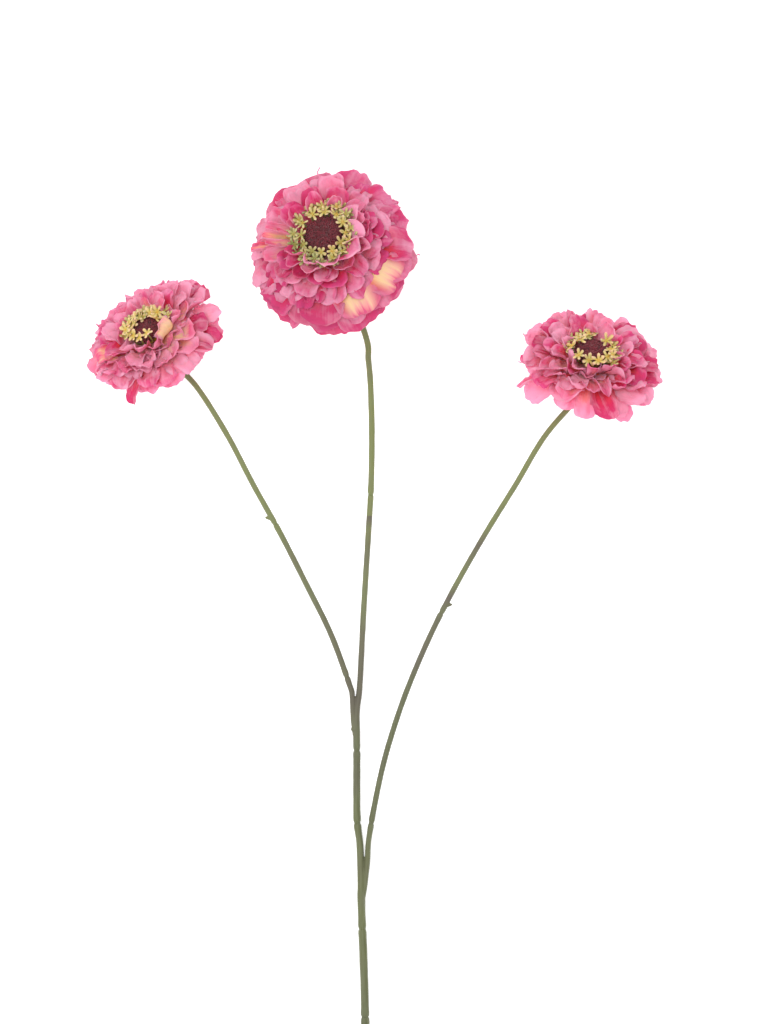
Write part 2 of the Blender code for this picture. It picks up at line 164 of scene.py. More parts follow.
def compute(tree, operation, first, *others):
    """Arithmetic on one number, on two, or on a longer row of them from left to right."""
    for other in others or (0.0,):
        node = add(tree, "Math", {"operation": operation})
        set_socket(tree, node.inputs[0], first)
        set_socket(tree, node.inputs[1], other)
        first = node.outputs[0]
    return first


def mixed(tree, share, first, second, blend="MIX"):
    """The first colour, with a share of the second one mixed in."""
    node = add(tree, "Mix", {"data_type": "RGBA", "blend_type": blend})
    for socket, value in zip((0, 6, 7), (share, first, second)):
        set_socket(tree, node.inputs[socket],
                   (*value, 1.0) if isinstance(value, tuple) else value)
    return node.outputs[2]


def ramp(tree, place, stops):
    """A colour ramp through (position, colour) stops."""
    node = add(tree, "ValToRGB", Fac=place)
    elements = node.color_ramp.elements
    while len(elements) < len(stops):
        elements.new(1.0)
    for element, (position, colour) in zip(elements, stops):
        element.position = position
        element.color = (*colour, 1.0)
    return node.outputs["Color"]


def remapped(tree, value, low, high, start=0.0, end=1.0):
    """A number that rises smoothly from start to end while value goes from low to high."""
    node = add(tree, "MapRange", {"interpolation_type": "SMOOTHSTEP"})
    for socket, given in enumerate((value, low, high, start, end)):
        set_socket(tree, node.inputs[socket], given)
    return node.outputs[0]


def stretched_noise(tree, vector, scales, detail=2.0):
    """Noise that runs in streaks: each axis of the vector has a scale of its own."""
    wide = add(tree, "Mapping", Vector=vector, Scale=scales)
    return add(tree, "TexNoise", Vector=wide.outputs[0], Scale=1.0, Detail=detail).outputs["Fac"]


def speckle(tree, scale, detail=2.0):
    """Noise of the same scale in every direction, fixed to the object."""
    spot = add(tree, "TexCoord").outputs["Object"]
    return add(tree, "TexNoise", Vector=spot, Scale=scale, Detail=detail).outputs["Fac"]


def carried(tree, name):
    """The outputs of a value that the mesh carries at each of its points."""
    return add(tree, "Attribute", {"attribute_name": name}).outputs


def surface(tree, **sockets):
    """Close a network with one principled shader and the output."""
    shader = add(tree, "BsdfPrincipled", **sockets)
    add(tree, "OutputMaterial", Surface=shader.outputs[0])


print("helpers for nodes, numbers, colours and noise are ready")

# %% [markdown]
# ## Table and light
# The table is a pale sheet with a very faint grain. One even sky fills every shadow, and one
# large soft lamp from the upper left gives the petals a light side and a shaded side. A small
# lamp would do that too, but it would also draw hard shadows of the stems on the table.

# %% Table and light
TABLE_SIZE = 8.0
TABLE_DROP = 0.3 * MM         # the table lies just under the lowest petal
TABLE_GLOW = 0.42             # a light table: its own glow thins out every shadow
SKY_STRENGTH = 1.05
LAMP_POWER = 11.0
LAMP_SIZE = 1.1
LAMP_PLACE = (-0.50, 0.35, 1.58)
LAMP_AIM = (0.0, 0.12, 0.0)
form = bmesh.new()
bmesh.ops.create_grid(form, x_segments=8, y_segments=8, size=TABLE_SIZE / 2)
table_mesh = bpy.data.meshes.new("table")
form.to_mesh(table_mesh)
form.free()
table = bpy.data.objects.new("table", table_mesh)
table.location.z = cad_box[0].z - TABLE_DROP
bpy.context.scene.collection.objects.link(table)
paper, tree = new_material("pale_table")
paper_colour = mixed(tree, speckle(tree, 900.0), (0.93, 0.93, 0.93), (0.96, 0.96, 0.96))
surface(tree, Base_Color=paper_colour, Roughness=0.9, Specular_IOR_Level=0.1,
        Emission_Color=(1.0, 1.0, 1.0, 1.0), Emission_Strength=TABLE_GLOW)
table_mesh.materials.append(paper)

sky = bpy.data.worlds.new("soft_sky")
sky.use_nodes = True
sky_inputs = sky.node_tree.nodes["Background"].inputs
sky_inputs["Color"].default_value = (1.0, 1.0, 1.0, 1.0)
sky_inputs["Strength"].default_value = SKY_STRENGTH
bpy.context.scene.world = sky

lamp_data = bpy.data.lights.new("soft_box", "AREA")
lamp_data.size = LAMP_SIZE
lamp_data.energy = LAMP_POWER
lamp = bpy.data.objects.new("soft_box", lamp_data)
lamp.location = LAMP_PLACE
lamp.rotation_euler = (Vector(LAMP_AIM) - lamp.location).to_track_quat("-Z", "Y").to_euler()
bpy.context.scene.collection.objects.link(lamp)
bpy.context.scene.view_settings.view_transform = "Standard"
print("table at", round(table.location.z / MM, 2), "mm")

# %% [markdown]
# ## The midline of a petal
# On the real flower each layer is one piece of polyester cloth, cut into a ring of petals and
# pressed between warm dies, so a petal is a stiff little spoon and not a draped cloth. That is
# why the shape is built by bending and not by simulation.
#
# A petal starts at the hub of its layer and runs out along the same profile as its CAD solid.
# The midline is that profile taken apart into short steps, with every step turned a little
# more (pitch lifts the whole petal, curl bends its tip, yaw swings it sideways) and then laid
# end to end again. The length stays the same however much a petal bends, as it does in cloth.

# %% Midline
HUB_STEP = 0.7                # from the hub of one layer to the hub of the next
HUB_HOLE = 1.9                # the radius of the hole for the peg
HUB_RADIUS = 4.5              # and the one at which the petals leave the hub
LAYER_TURN = 0.13             # each layer is turned by this much against the one behind it
OUTER_ANGLE = math.radians(-25)       # where the tips of the outermost layer lie on the dome
INNER_ANGLE = math.radians(63)        # and those of the innermost one
SKIRT_FLARE = 0.6             # the lower it is, the less the skirt draws in below
MIDLINE_STEPS = 40


def petal_tip(head, angle):
    """Radius and height of a tip: on the dome above the widest plane, on the skirt below it."""
    if angle < 0:
        fall = math.sin(angle) / math.sin(-OUTER_ANGLE)
        return Vector((head["radius"] * math.cos(angle) ** SKIRT_FLARE, head["skirt"] * fall))
    return Vector((head["radius"] * math.cos(angle), head["dome"] * math.sin(angle)))


def petal_profile(head, layer):
    """Radius and height of a petal's midline at even steps from its hub to its tip."""
    inward = layer / (len(head["petals"]) - 1)
    tip = petal_tip(head, OUTER_ANGLE + (INNER_ANGLE - OUTER_ANGLE) * inward)
    hub = Vector((HUB_RADIUS, head["hub_base"] + HUB_STEP * layer))
    bulge = max(hub.y + 2.0, hub.y + 0.3 * (tip.y - hub.y))
    middle = Vector(((0.95 - 0.2 * inward) * tip.x, bulge))
    along = np.linspace(0, 1, MIDLINE_STEPS + 1)[:, None]
    back = 1 - along
    return (np.array(hub) * back ** 2 + np.array(middle) * 2 * back * along
            + np.array(tip) * along ** 2)


def ease(value, low, high):
    """Rise smoothly from 0 to 1 while value goes from low to high."""
    share = np.clip((value - low) / (high - low), 0, 1)
    return share * share * (3 - 2 * share)


def petal_midline(head, layer, petal):
    """A bent midline: its points, and the side and the front of the cloth at each step."""
    profile = petal_profile(head, layer)
    steps = np.diff(profile, axis=0)
    at = (np.arange(MIDLINE_STEPS) + 0.5) / MIDLINE_STEPS
    slope = (np.arctan2(steps[:, 1], steps[:, 0]) + petal["pitch"] * ease(at, 0.0, 0.35)
             + petal["curl"] * ease(at, 0.45, 1.0))
    swing = petal["yaw"] * ease(at, 0.05, 0.6)
    tangent = np.stack((np.cos(slope) * np.cos(swing), np.cos(slope) * np.sin(swing),
                        np.sin(slope)), axis=1)
    side = np.stack((-np.sin(swing), np.cos(swing), 0 * swing), axis=1)
    front = np.cross(tangent, side)
    roll = (petal["roll"] * ease(at, 0.1, 0.8))[:, None]
    side, front = (side * np.cos(roll) + front * np.sin(roll),
                   front * np.cos(roll) - side * np.sin(roll))
    lengths = np.hypot(steps[:, 0], steps[:, 1])[:, None] * petal["reach"]
    start = np.array((profile[0][0], 0.0, profile[0][1]))
    points = np.vstack((start, start + np.cumsum(tangent * lengths, axis=0)))
    return points, side, front, float(lengths.sum())


print("outer petal of the middle head:",
      round(float(np.hypot(*np.diff(petal_profile(HEADS["centre"], 0), axis=0).T).sum()), 1),
      "mm from hub to tip")

# %% [markdown]
# ## The blade of a petal
# The blade is a grid of points: rows run from the hub to the tip, and columns from one side to
# the other. The columns at the sides stop short of the tip, which rounds it off like a spoon.
# The claw at the hub is narrow, and the blade reaches its full width at the shoulder.
#
# Four things make it cloth. The cross-section is an arc (the cup from the pressing die), it
# may be folded along the middle, the rim ruffles in waves that run right round the edge, and
# the whole blade has a low crumple from being packed and shaken out. Rows and columns lie
# closer together near the rim, where the shape changes fastest.

# %% Blade
ROWS = 20
COLUMNS = 14
TIP_POWER = 2.1               # 2 would make the tip an ellipse, more makes it squarer
TIP_NARROWING = 0.10
NOTCH_WIDTH = 0.16
FOLD_ROUNDING = 0.35
GROOVE_DEPTH = 0.16
DENTS = 7.0                   # the size of the large dents
SMALL_DENTS = 3.2             # of the small ones between them
RIM_DENTS = 2.6               # and of those along the rim
ACROSS = np.sin(np.linspace(-1, 1, COLUMNS + 1) * math.pi / 2)
ALONG = np.sin(np.linspace(0, 1, ROWS + 1) * math.pi / 2)


def at_share(values, share):
    """Values along a midline, read at any share of its length."""
    first = 0.0 if len(values) > MIDLINE_STEPS else 0.5 / MIDLINE_STEPS
    where = np.linspace(first, 1 - first, len(values))
    return np.stack([np.interp(share, where, values[:, k]) for k in range(3)], axis=-1)


def crumple_at(points, size, seed):
    """A smooth random height for each point, between about -1 and 1."""
    flat = points.reshape(-1, 3) / size
    heights = [noise.noise(Vector((x + seed, y, z))) for x, y, z in flat]
    return np.array(heights).reshape(points.shape[:-1]) * 1.6


def petal_blade(head, layer, petal):
    """The grid of one petal that points along +X: points, and the distance to its rim."""
    points, side, front, length = petal_midline(head, layer, petal)
    across, along = np.meshgrid(ACROSS, ALONG)
    spoon = 0.5 * petal["width"] * petal["round"] / length
    notch = petal["notch"] * np.exp(-(across / NOTCH_WIDTH) ** 2) / length
    crest = np.sqrt(np.cos(0.5 * math.pi * petal["lobes"] * (across + petal["shift"])) ** 2 + 0.02)
    waves = (0.9 * (crest - 0.9)
             + 0.28 * np.sin(2.7 * petal["phase"] + 11.0 * across)) * petal["ragged"] / length
    skew = petal["skew"] * across / length
    rounding = 1 - (1 - np.abs(across) ** TIP_POWER) ** (1 / TIP_POWER)
    share = np.clip(along * (1 - spoon * rounding - notch + waves + skew), 0, 1)
    claw = 0.85 * math.pi * HUB_RADIUS / head["petals"][int(layer)]
    half = claw + (0.5 * petal["width"] - claw) * ease(share, 0.02, petal["shoulder"])
    half *= 1 - TIP_NARROWING * ease(share, 0.82, 1.0)

    cup = petal["cup"] * ease(share, 0.1, 0.75) + 1e-5
    aside = half * np.sin(cup * across) / cup
    rise = half * (1 - np.cos(cup * across)) / cup
    fold = petal["fold"] * ease(share, 0.12, 0.5)
    spread = np.sqrt(aside ** 2 + FOLD_ROUNDING) - 0.59
    aside, rise = (aside * np.cos(fold) - rise * np.sin(fold) * np.tanh(4 * across),
                   spread * np.sin(fold) + rise * np.cos(fold))

    rim = np.minimum((1 - np.abs(across)) * half, (1 - along) * length)
    near_rim = np.maximum(np.abs(across) ** 3, along ** 5) * ease(share, 0.15, 0.5)
    around = np.arctan2(aside, (share - 0.45) * length)
    ruffle = (np.sin(petal["waves"] * around + petal["phase"])
              + 0.45 * np.sin((2 * petal["waves"] + 1) * around + 2.3 * petal["phase"]))
    grooves = np.cos(math.tau * (1.6 * across + petal["phase"])) * (1 - near_rim)
    flat = np.stack((share * length, aside, 0 * share), axis=-1)
    crumple, seed = petal["crumple"], petal["seed"]
    rise = rise + petal["ruffle"] * ruffle * near_rim
    rise = rise + GROOVE_DEPTH * grooves * ease(share, 0.2, 0.5)
    rise = rise + crumple * crumple_at(flat, DENTS, seed) * ease(share, 0.1, 0.6)
    rise = rise + 0.30 * crumple * crumple_at(flat, SMALL_DENTS, seed + 9) * ease(share, 0.3, 0.8)
    rise = rise + 0.6 * petal["ruffle"] * crumple_at(flat, RIM_DENTS, seed + 5) * near_rim
    rise = rise + petal["pleat"] * (2 * crest - 1) * ease(share, 0.30, 0.95)
    place = (at_share(points, share) + at_share(side, share) * aside[..., None]
             + at_share(front, share) * rise[..., None])
    return place, rim


print("a blade is a grid of", ROWS, "by", COLUMNS, "cells")

# %% [markdown]
# ## How the petals differ
# The crown of a real zinnia is packed so densely that little more than the tips can be seen.
# An artificial one gets there with two rings of cloth in each layer, the second turned so
# that its petals fall between those of the first.
#
# Every layer has a cut of its own: broad petals at the back of the head, narrower ones towards
# the disc, and short scoops that stand up round the florets. Within a layer no two petals are
# alike, so each is drawn a little to either side of the layer's own cut, from a seed that is
# fixed for that layer.
#
# Some petals are well out of line on any real head: one is folded lengthwise, one hangs, one
# is turned so that its pale base shows. These are listed by head, ring and the direction in
# which they lie as seen from above, and only what differs is written down.
#
# Lengths are in millimetres and bends in degrees, and reach is a share of the petal's regular
# length. Round and notch shape the tip, lobes, shift, ragged and skew its edge, and pleat,
# ruffle and crumple the surface. Tone is how light the pink is, cream how much pale base
# shows, deep how much dark dye it took, and rim highlight how strong the painted rim highlight is.

# %% Cuts of the layers
# Each row, from the outermost layer inwards: width, reach, pitch, curl, cup, ruffle.
CUTS = {
    "centre": (
        (18.5, 1.00, 0, -4, -10, 1.2),
        (18.5, 1.02, 0, -2, -8, 1.3),
        (17.5, 1.00, 0, -4, -6, 1.4),
        (12.5, 0.88, 2, -12, 0, 1.0),
        (12.0, 0.90, 3, -16, 8, 1.0),
        (11.5, 0.95, 4, -16, 16, 0.9),
        (11.0, 1.02, 6, -8, 34, 0.9),
        (9.5, 1.28, 12, 4, 60, 0.8),
    ),
    "left": (
        (12.5, 1.00, 0, -6, -8, 1.1),
        (12.0, 1.00, 2, -6, -4, 1.2),
        (11.5, 0.97, 4, -10, 6, 1.1),
        (10.5, 0.97, 6, -12, 14, 1.0),
        (10.0, 1.02, 9, -10, 28, 0.9),
        (9.0, 1.20, 14, 2, 55, 0.8),
    ),
    "right": (
        (12.5, 1.00, 0, -6, -8, 1.1),
        (12.0, 0.99, 2, -4, -2, 1.2),
        (11.0, 0.96, 4, -8, 8, 1.1),
        (10.5, 0.97, 7, -12, 14, 1.0),
        (9.5, 1.02, 9, -8, 28, 0.9),
        (8.5, 1.18, 14, 4, 55, 0.8),
    ),
}
print({name: len(rows) for name, rows in CUTS.items()}, "layers")

# %% Sectors of the heads
# Sectors in which a head is pushed out of its regular shape: the direction seen from above,
# how far it reaches to either side, from which ring to which (the outermost is 0, and its
# second ring 0.5), and what is added to the cut. Smooth petals kept the shape of the press.
SMOOTH = dict(crumple=-0.4, ruffle=-0.3, pleat=-0.5)
SECTORS = {
    "centre": (
        (-50, 1.4, (2.6, 9), dict(reach=-0.10, pitch=4, tone=-0.3, width=1.5)),
        # Lower side of the outer rings, away from the lamp: the darker tone and extra deep dye are
        # partly real deep dye and partly painted shade.
        (-75, 1.6, (0, 2.5), dict(SMOOTH, tone=-0.7, deep=0.6, width=2.0)),
        (14, 1.0, (0, 9), dict(reach=-0.11)),
        (108, 1.3, (0, 9), dict(reach=0.10, width=1.5)),
        (184, 0.7, (3.4, 4.6), dict(fold=50, cream=0.9, tone=0.3, width=-3.0)),
        (182, 0.6, (4.9, 9), dict(fold=50, cream=1.0, tone=0.3, width=-3.5, reach=0.3, pitch=-8,
                                  curl=8)),
        (-35, 1.6, (6.9, 9), dict(reach=0.14, rim_highlight=0.6, tone=1.0, deep=-1.0, curl=-60, pitch=8,
                                  width=4.5, cup=-40, ruffle=0.6)),
    ),
    "left": (
        (-100, 1.5, (0.6, 9), dict(reach=-0.24)),
        # Near side, where the inner petals stand in shade: the raised tone and cream and the lost
        # deep dye are painted light that lifts that shade.
        (-105, 1.2, (3.9, 9), dict(pitch=-10, reach=0.22, tone=0.3, cream=0.25, ruffle=0.7,
                                   crumple=0.5, deep=-0.5)),
        (5, 1.3, (1.9, 9), dict(pitch=-14, cream=0.2, tone=0.2)),
        (5, 1.3, (3.9, 9), dict(cream=0.5, curl=-20, pitch=-10, width=2.5)),
    ),
    "right": (
        (-95, 1.5, (1.6, 9), dict(reach=-0.17)),
        # Near side, where the inner petals stand in shade: the raised tone and cream are painted
        # light that lifts that shade.
        (-95, 1.2, (3.9, 9), dict(pitch=-10, reach=0.16, ruffle=0.6, tone=0.15, crumple=0.4,
                                  cream=0.25)),
        (185, 0.8, (1.6, 9), dict(fold=25)),
    ),
}
# Where the second rings are left short, so that broad petals show.
OPEN_SECTORS = {"centre": ((95, 1.3), (-48, 1.0)), "left": ((10, 1.0), (-60, 0.5)),
                "right": ((85, 1.1), (-95, 0.9))}
print("sectors:", {name: len(rows) for name, rows in SECTORS.items()})

# %% Petals set one by one
# A broad outer petal that shows its pale base, and one that was pressed flat again.
CREAM_SKIRT = dict(width=22.0, reach=1.0, pitch=2.0, curl=-6, cup=-6, fold=0, roll=0, yaw=0,
                   tone=0.4, cream=1.2, deep=0.0, ruffle=0.8, crumple=0.3, pleat=0.3, lobes=3,
                   notch=0.0)
FLAT = dict(curl=0, fold=0, roll=0)
# Each petal by its ring (here the outermost is 1) and the direction seen from above.
ODD_PETALS = {
    "centre": {
        (3.5, -64): dict(CREAM_SKIRT, yaw=4),
        (3.5, -31): dict(CREAM_SKIRT, yaw=12),
        (3.5, -1): dict(tone=0.4, reach=1.0, width=18.0, yaw=6),
        (3, -43): dict(CREAM_SKIRT, deep=0.7, cream=0.2, pitch=0.5),
        (3, -12): dict(CREAM_SKIRT, tone=0.8, cream=0.0, pitch=0.5),
        (3.5, -97): dict(CREAM_SKIRT, cream=0.15, deep=1.0, tone=0.1),
        (3, -108): dict(CREAM_SKIRT, cream=0.1, deep=0.9, tone=0.2, pitch=0.5),
        (3.5, -127): dict(CREAM_SKIRT, cream=0.1, deep=0.5, tone=0.5, reach=0.9),
        (4, -116): dict(pitch=9),
        (4, -85): dict(pitch=9),
        (4, -144): dict(pitch=7),
        (4, -19): dict(pitch=9),
        (4, 9): dict(pitch=9),
        (2, 145): dict(deep=0.0, tone=1.0, reach=1.0),
        (3, 137): dict(FLAT, lobes=1, skew=0, round=1.3, yaw=0, deep=0.7, tone=0.3),
        (2, 23): dict(reach=0.92),
        (2, 79): dict(tone=1.1, reach=1.12, width=15.0, curl=4),
        (3, 72): dict(deep=0.3, tone=0.2),
        (2, 112): dict(reach=1.18, width=20.0, deep=0.3, tone=0.3),
        (1, 87): dict(reach=1.08, curl=8),
        (1, 120): dict(reach=1.14, curl=6, tone=0.4),
        (3, 103): dict(deep=0.6, tone=0.2),
    },
    "left": {
        (2, -108): dict(reach=1.04, width=7.5, fold=40, deep=1.2, tone=0.1, yaw=-6),
        (1, -101): dict(reach=0.84, tone=0.6),
        (1, -127): dict(reach=0.84),
        (1, -148): dict(reach=0.92),
        (1, -63): dict(FLAT, reach=0.88, tone=0.9),
        (1, -21): dict(reach=0.86),
        (2, -132): dict(reach=0.84, deep=0.4),
        (2, -74): dict(reach=0.86),
        (3, -94): dict(reach=0.86),
        (3, -124): dict(reach=0.86),
        (2, -153): dict(fold=45, cream=0.6, deep=0.4, cup=20),
        (6, -6): dict(cream=1.5, width=15.0, cup=35, tone=1.0, curl=58, pitch=16, reach=1.28,
                      fold=0, roll=0, yaw=8, ruffle=1.6, crumple=2.0, pleat=1.3, lobes=3),
        (4, -153): dict(cream=1.1, tone=0.4, deep=0.0, width=12.0),
        (4.5, -145): dict(cream=0.8, tone=0.8, deep=0.0),
        (5, 32): dict(cream=0.9, tone=1.1, deep=0.0, width=11.0),
        (4.5, 24): dict(cream=0.9, tone=1.1, deep=0.0, width=11.0),
        (6, 80): dict(cream=0.9, tone=1.2),
        (6, 50): dict(cream=0.7, tone=1.0),
        (5, 4): dict(cream=0.9, width=14.0, curl=10, pitch=-12),
        (4, -17): dict(cream=0.5, tone=1.0, width=12.5),
        (3, -7): dict(cream=0.4, tone=0.9, width=12.0),
        (2, 3): dict(deep=1.0, tone=0.2),
        (1, 10): dict(deep=0.9, tone=0.3),
        (4, 15): dict(deep=1.0, tone=0.2, cream=0.0, width=13.0),
        (2, 27): dict(tone=1.1, deep=0.0),
        (3, 21): dict(tone=1.1, deep=0.0),
        (2, 48): dict(deep=1.0, curl=25),
        (2, 72): dict(deep=0.8, tone=0.2, curl=20),
    },
    "right": {
        (2, -165): dict(width=4.5, fold=60, tone=0.9, cup=0, reach=1.06),
        (1, 177): dict(reach=0.86),
        (2, 172): dict(reach=0.91),
        (1, -158): dict(FLAT, tone=1.2, width=13.0),
        (1, -126): dict(FLAT, tone=1.0, reach=0.80),
        (2, -135): dict(FLAT, reach=0.76),
        (3, -121): dict(tone=0.9, width=13.0, cream=0.3),
        (1, -86): dict(FLAT, width=7.0, reach=0.66, tone=1.2, cream=0.35),
        (2, -97): dict(FLAT, tone=1.2, width=10.0),
        (3, -78): dict(FLAT, deep=0.9, width=13.0, reach=1.15, tone=0.1, pitch=5, crumple=0.3,
                       pleat=0.4, yaw=7),
        (1, -51): dict(FLAT, tone=1.2, width=9.0),
        (2, -59): dict(FLAT, tone=1.2, reach=0.97),
        (1, -25): dict(tone=1.2),
        (3, -42): dict(deep=0.9, reach=1.05),
        (4, -89): dict(pitch=12, tone=0.8),
        (3, -16): dict(deep=0.9, tone=0.1),
        (2, 15): dict(tone=1.2, deep=0.0),
        (4.5, 11): dict(deep=1.1, tone=0.0),
        (3, 39): dict(deep=0.9, tone=0.1),
        (4, 111): dict(deep=0.5, tone=0.3),
        (3, 80): dict(tone=0.9, deep=0.0),
        (5, -35): dict(cup=150, width=12.0, fold=0, deep=0.5, reach=0.92),
        (4.5, -13): dict(cup=70, tone=1.0, fold=0),
        (6, 48): dict(curl=50, width=12.0, tone=1.1, cup=40, reach=1.4, deep=0.0, rim_highlight=0.6,
                      pitch=4),
        (6, -168): dict(curl=50, width=9.0, tone=1.0),
    },
}
print("petals set by hand:", {name: len(rows) for name, rows in ODD_PETALS.items()})

# %% Rings of petals
BENDS = ("pitch", "curl", "cup", "fold", "yaw", "roll")
SHORTENED = 0.35              # how much of its reach a petal of a second ring may lose
CALM_LAYERS = 2               # the outer layers stray less than the rest
CALM = 0.55


def seen_angle(name, degrees):
    """The angle on a head's own plane that points in a direction seen from above."""
    place = HEADS[name]["place"].to_3x3()
    flat = Matrix(((place[0][0], place[0][1]), (place[1][0], place[1][1]))).inverted()
    aim = flat @ Vector((math.cos(math.radians(degrees)), math.sin(math.radians(degrees))))
    return math.atan2(aim.y, aim.x)


def apart(name, angle, degrees):
    """How far an angle on a head lies from a direction seen from above."""
    return abs(math.remainder(angle - seen_angle(name, degrees), math.tau))


def nearest_petal(name, petals, degrees):
    """The place in a ring of the petal that points best in a direction seen from above."""
    aim = seen_angle(name, degrees)
    turns = [-math.cos(petal["angle"] - aim) for petal in petals]
    return turns.index(min(turns))


def in_radians(key, value):
    """A setting as it is used: the bends are written in degrees."""
    return math.radians(value) if key in BENDS else value


def drawn_petals(name, level):
    """The petals of one ring, each drawn from the dice near the cut of its layer."""
    head = HEADS[name]
    layer = int(level)
    count = head["petals"][layer]
    first = math.tau / count * (0.5 * (layer % 2) + 0.75 * (level - layer)) + LAYER_TURN * layer
    dice = random.Random(f"{name} {level}")
    width, reach, lift, curl, cup, ruffle = (
        float(np.interp(level, range(len(CUTS[name])), column)) for column in zip(*CUTS[name]))
    inner = len(head["petals"]) - 1
    wild = head["wild"] * (CALM if layer < CALM_LAYERS else 1.0)
    return [dict(
        angle=first + math.tau / count * step,
        width=width * dice.uniform(0.92, 1.08),
        reach=reach * dice.uniform(0.96, 1.03),
        pitch=math.radians(lift + dice.uniform(-3, 3) * wild),
        curl=math.radians(curl + dice.uniform(-22, 22) * wild),
        cup=math.radians(cup + dice.uniform(-24, 24) * wild),
        fold=math.radians(max(0.0, dice.gauss(0, 10)) * wild),
        yaw=math.radians(dice.uniform(-5, 5) * wild),
        roll=math.radians(dice.uniform(-10, 10) * wild),
        round=dice.uniform(0.85, 1.3),
        notch=max(0.0, dice.uniform(-0.8, 1.1)),
        ragged=dice.uniform(0.5, 1.3),
        skew=dice.uniform(-1.0, 1.0),
        lobes=dice.choice((1, 2, 2, 3, 3)) if layer < inner else 2,
        shift=dice.uniform(-0.25, 0.25),
        pleat=ruffle * dice.uniform(0.25, 0.85),
        shoulder=dice.uniform(0.5, 0.62) if layer > 1 else dice.uniform(0.26, 0.36),
        ruffle=ruffle * dice.uniform(0.5, 1.2),
        waves=dice.uniform(2.6, 4.4),
        phase=dice.uniform(0, math.tau),
        crumple=dice.uniform(0.6, 1.3) * wild,
        seed=dice.uniform(0, 90),
        tone=dice.uniform(-0.3, 1.25) + head["pale"] * (1 - 0.5 * layer / inner),
        cream=max(0.0, dice.gauss(0.05, 0.12)),
        deep=dice.choice((0.0, 0.0, 0.15, 0.3, 1.0)) * dice.uniform(0.5, 1.2),
        # inner layers get a stronger painted rim highlight
        rim_highlight=dice.uniform(0.0, 0.40) + 0.25 * (layer / inner) ** 2,
    ) for step in range(count)]


def ring_petals(name, level):
    """The settings of every petal of one ring. Level x.5 is the second ring of layer x."""
    petals = drawn_petals(name, level)
    for petal in petals:
        for middle, spread in OPEN_SECTORS[name] if level > int(level) else ():
            share = ease(apart(name, petal["angle"], middle), spread, 0.6 * spread)
            petal["reach"] *= 1 - SHORTENED * float(share)
        for middle, spread, (lowest, highest), changes in SECTORS[name]:
            aside = apart(name, petal["angle"], middle)
            if aside < spread and lowest <= level <= highest:
                share = float(ease(aside, spread, 0.0))
                for key, value in changes.items():
                    petal[key] += share * in_radians(key, value)
    for (odd_level, degrees), changes in ODD_PETALS[name].items():
        if odd_level == level + 1:
            petals[nearest_petal(name, petals, degrees)].update(
                {key: in_radians(key, value) for key, value in changes.items()})
    return petals


print("widest petal drawn:",
      round(max(petal["width"] for petal in drawn_petals("centre", 0)), 1), "mm")
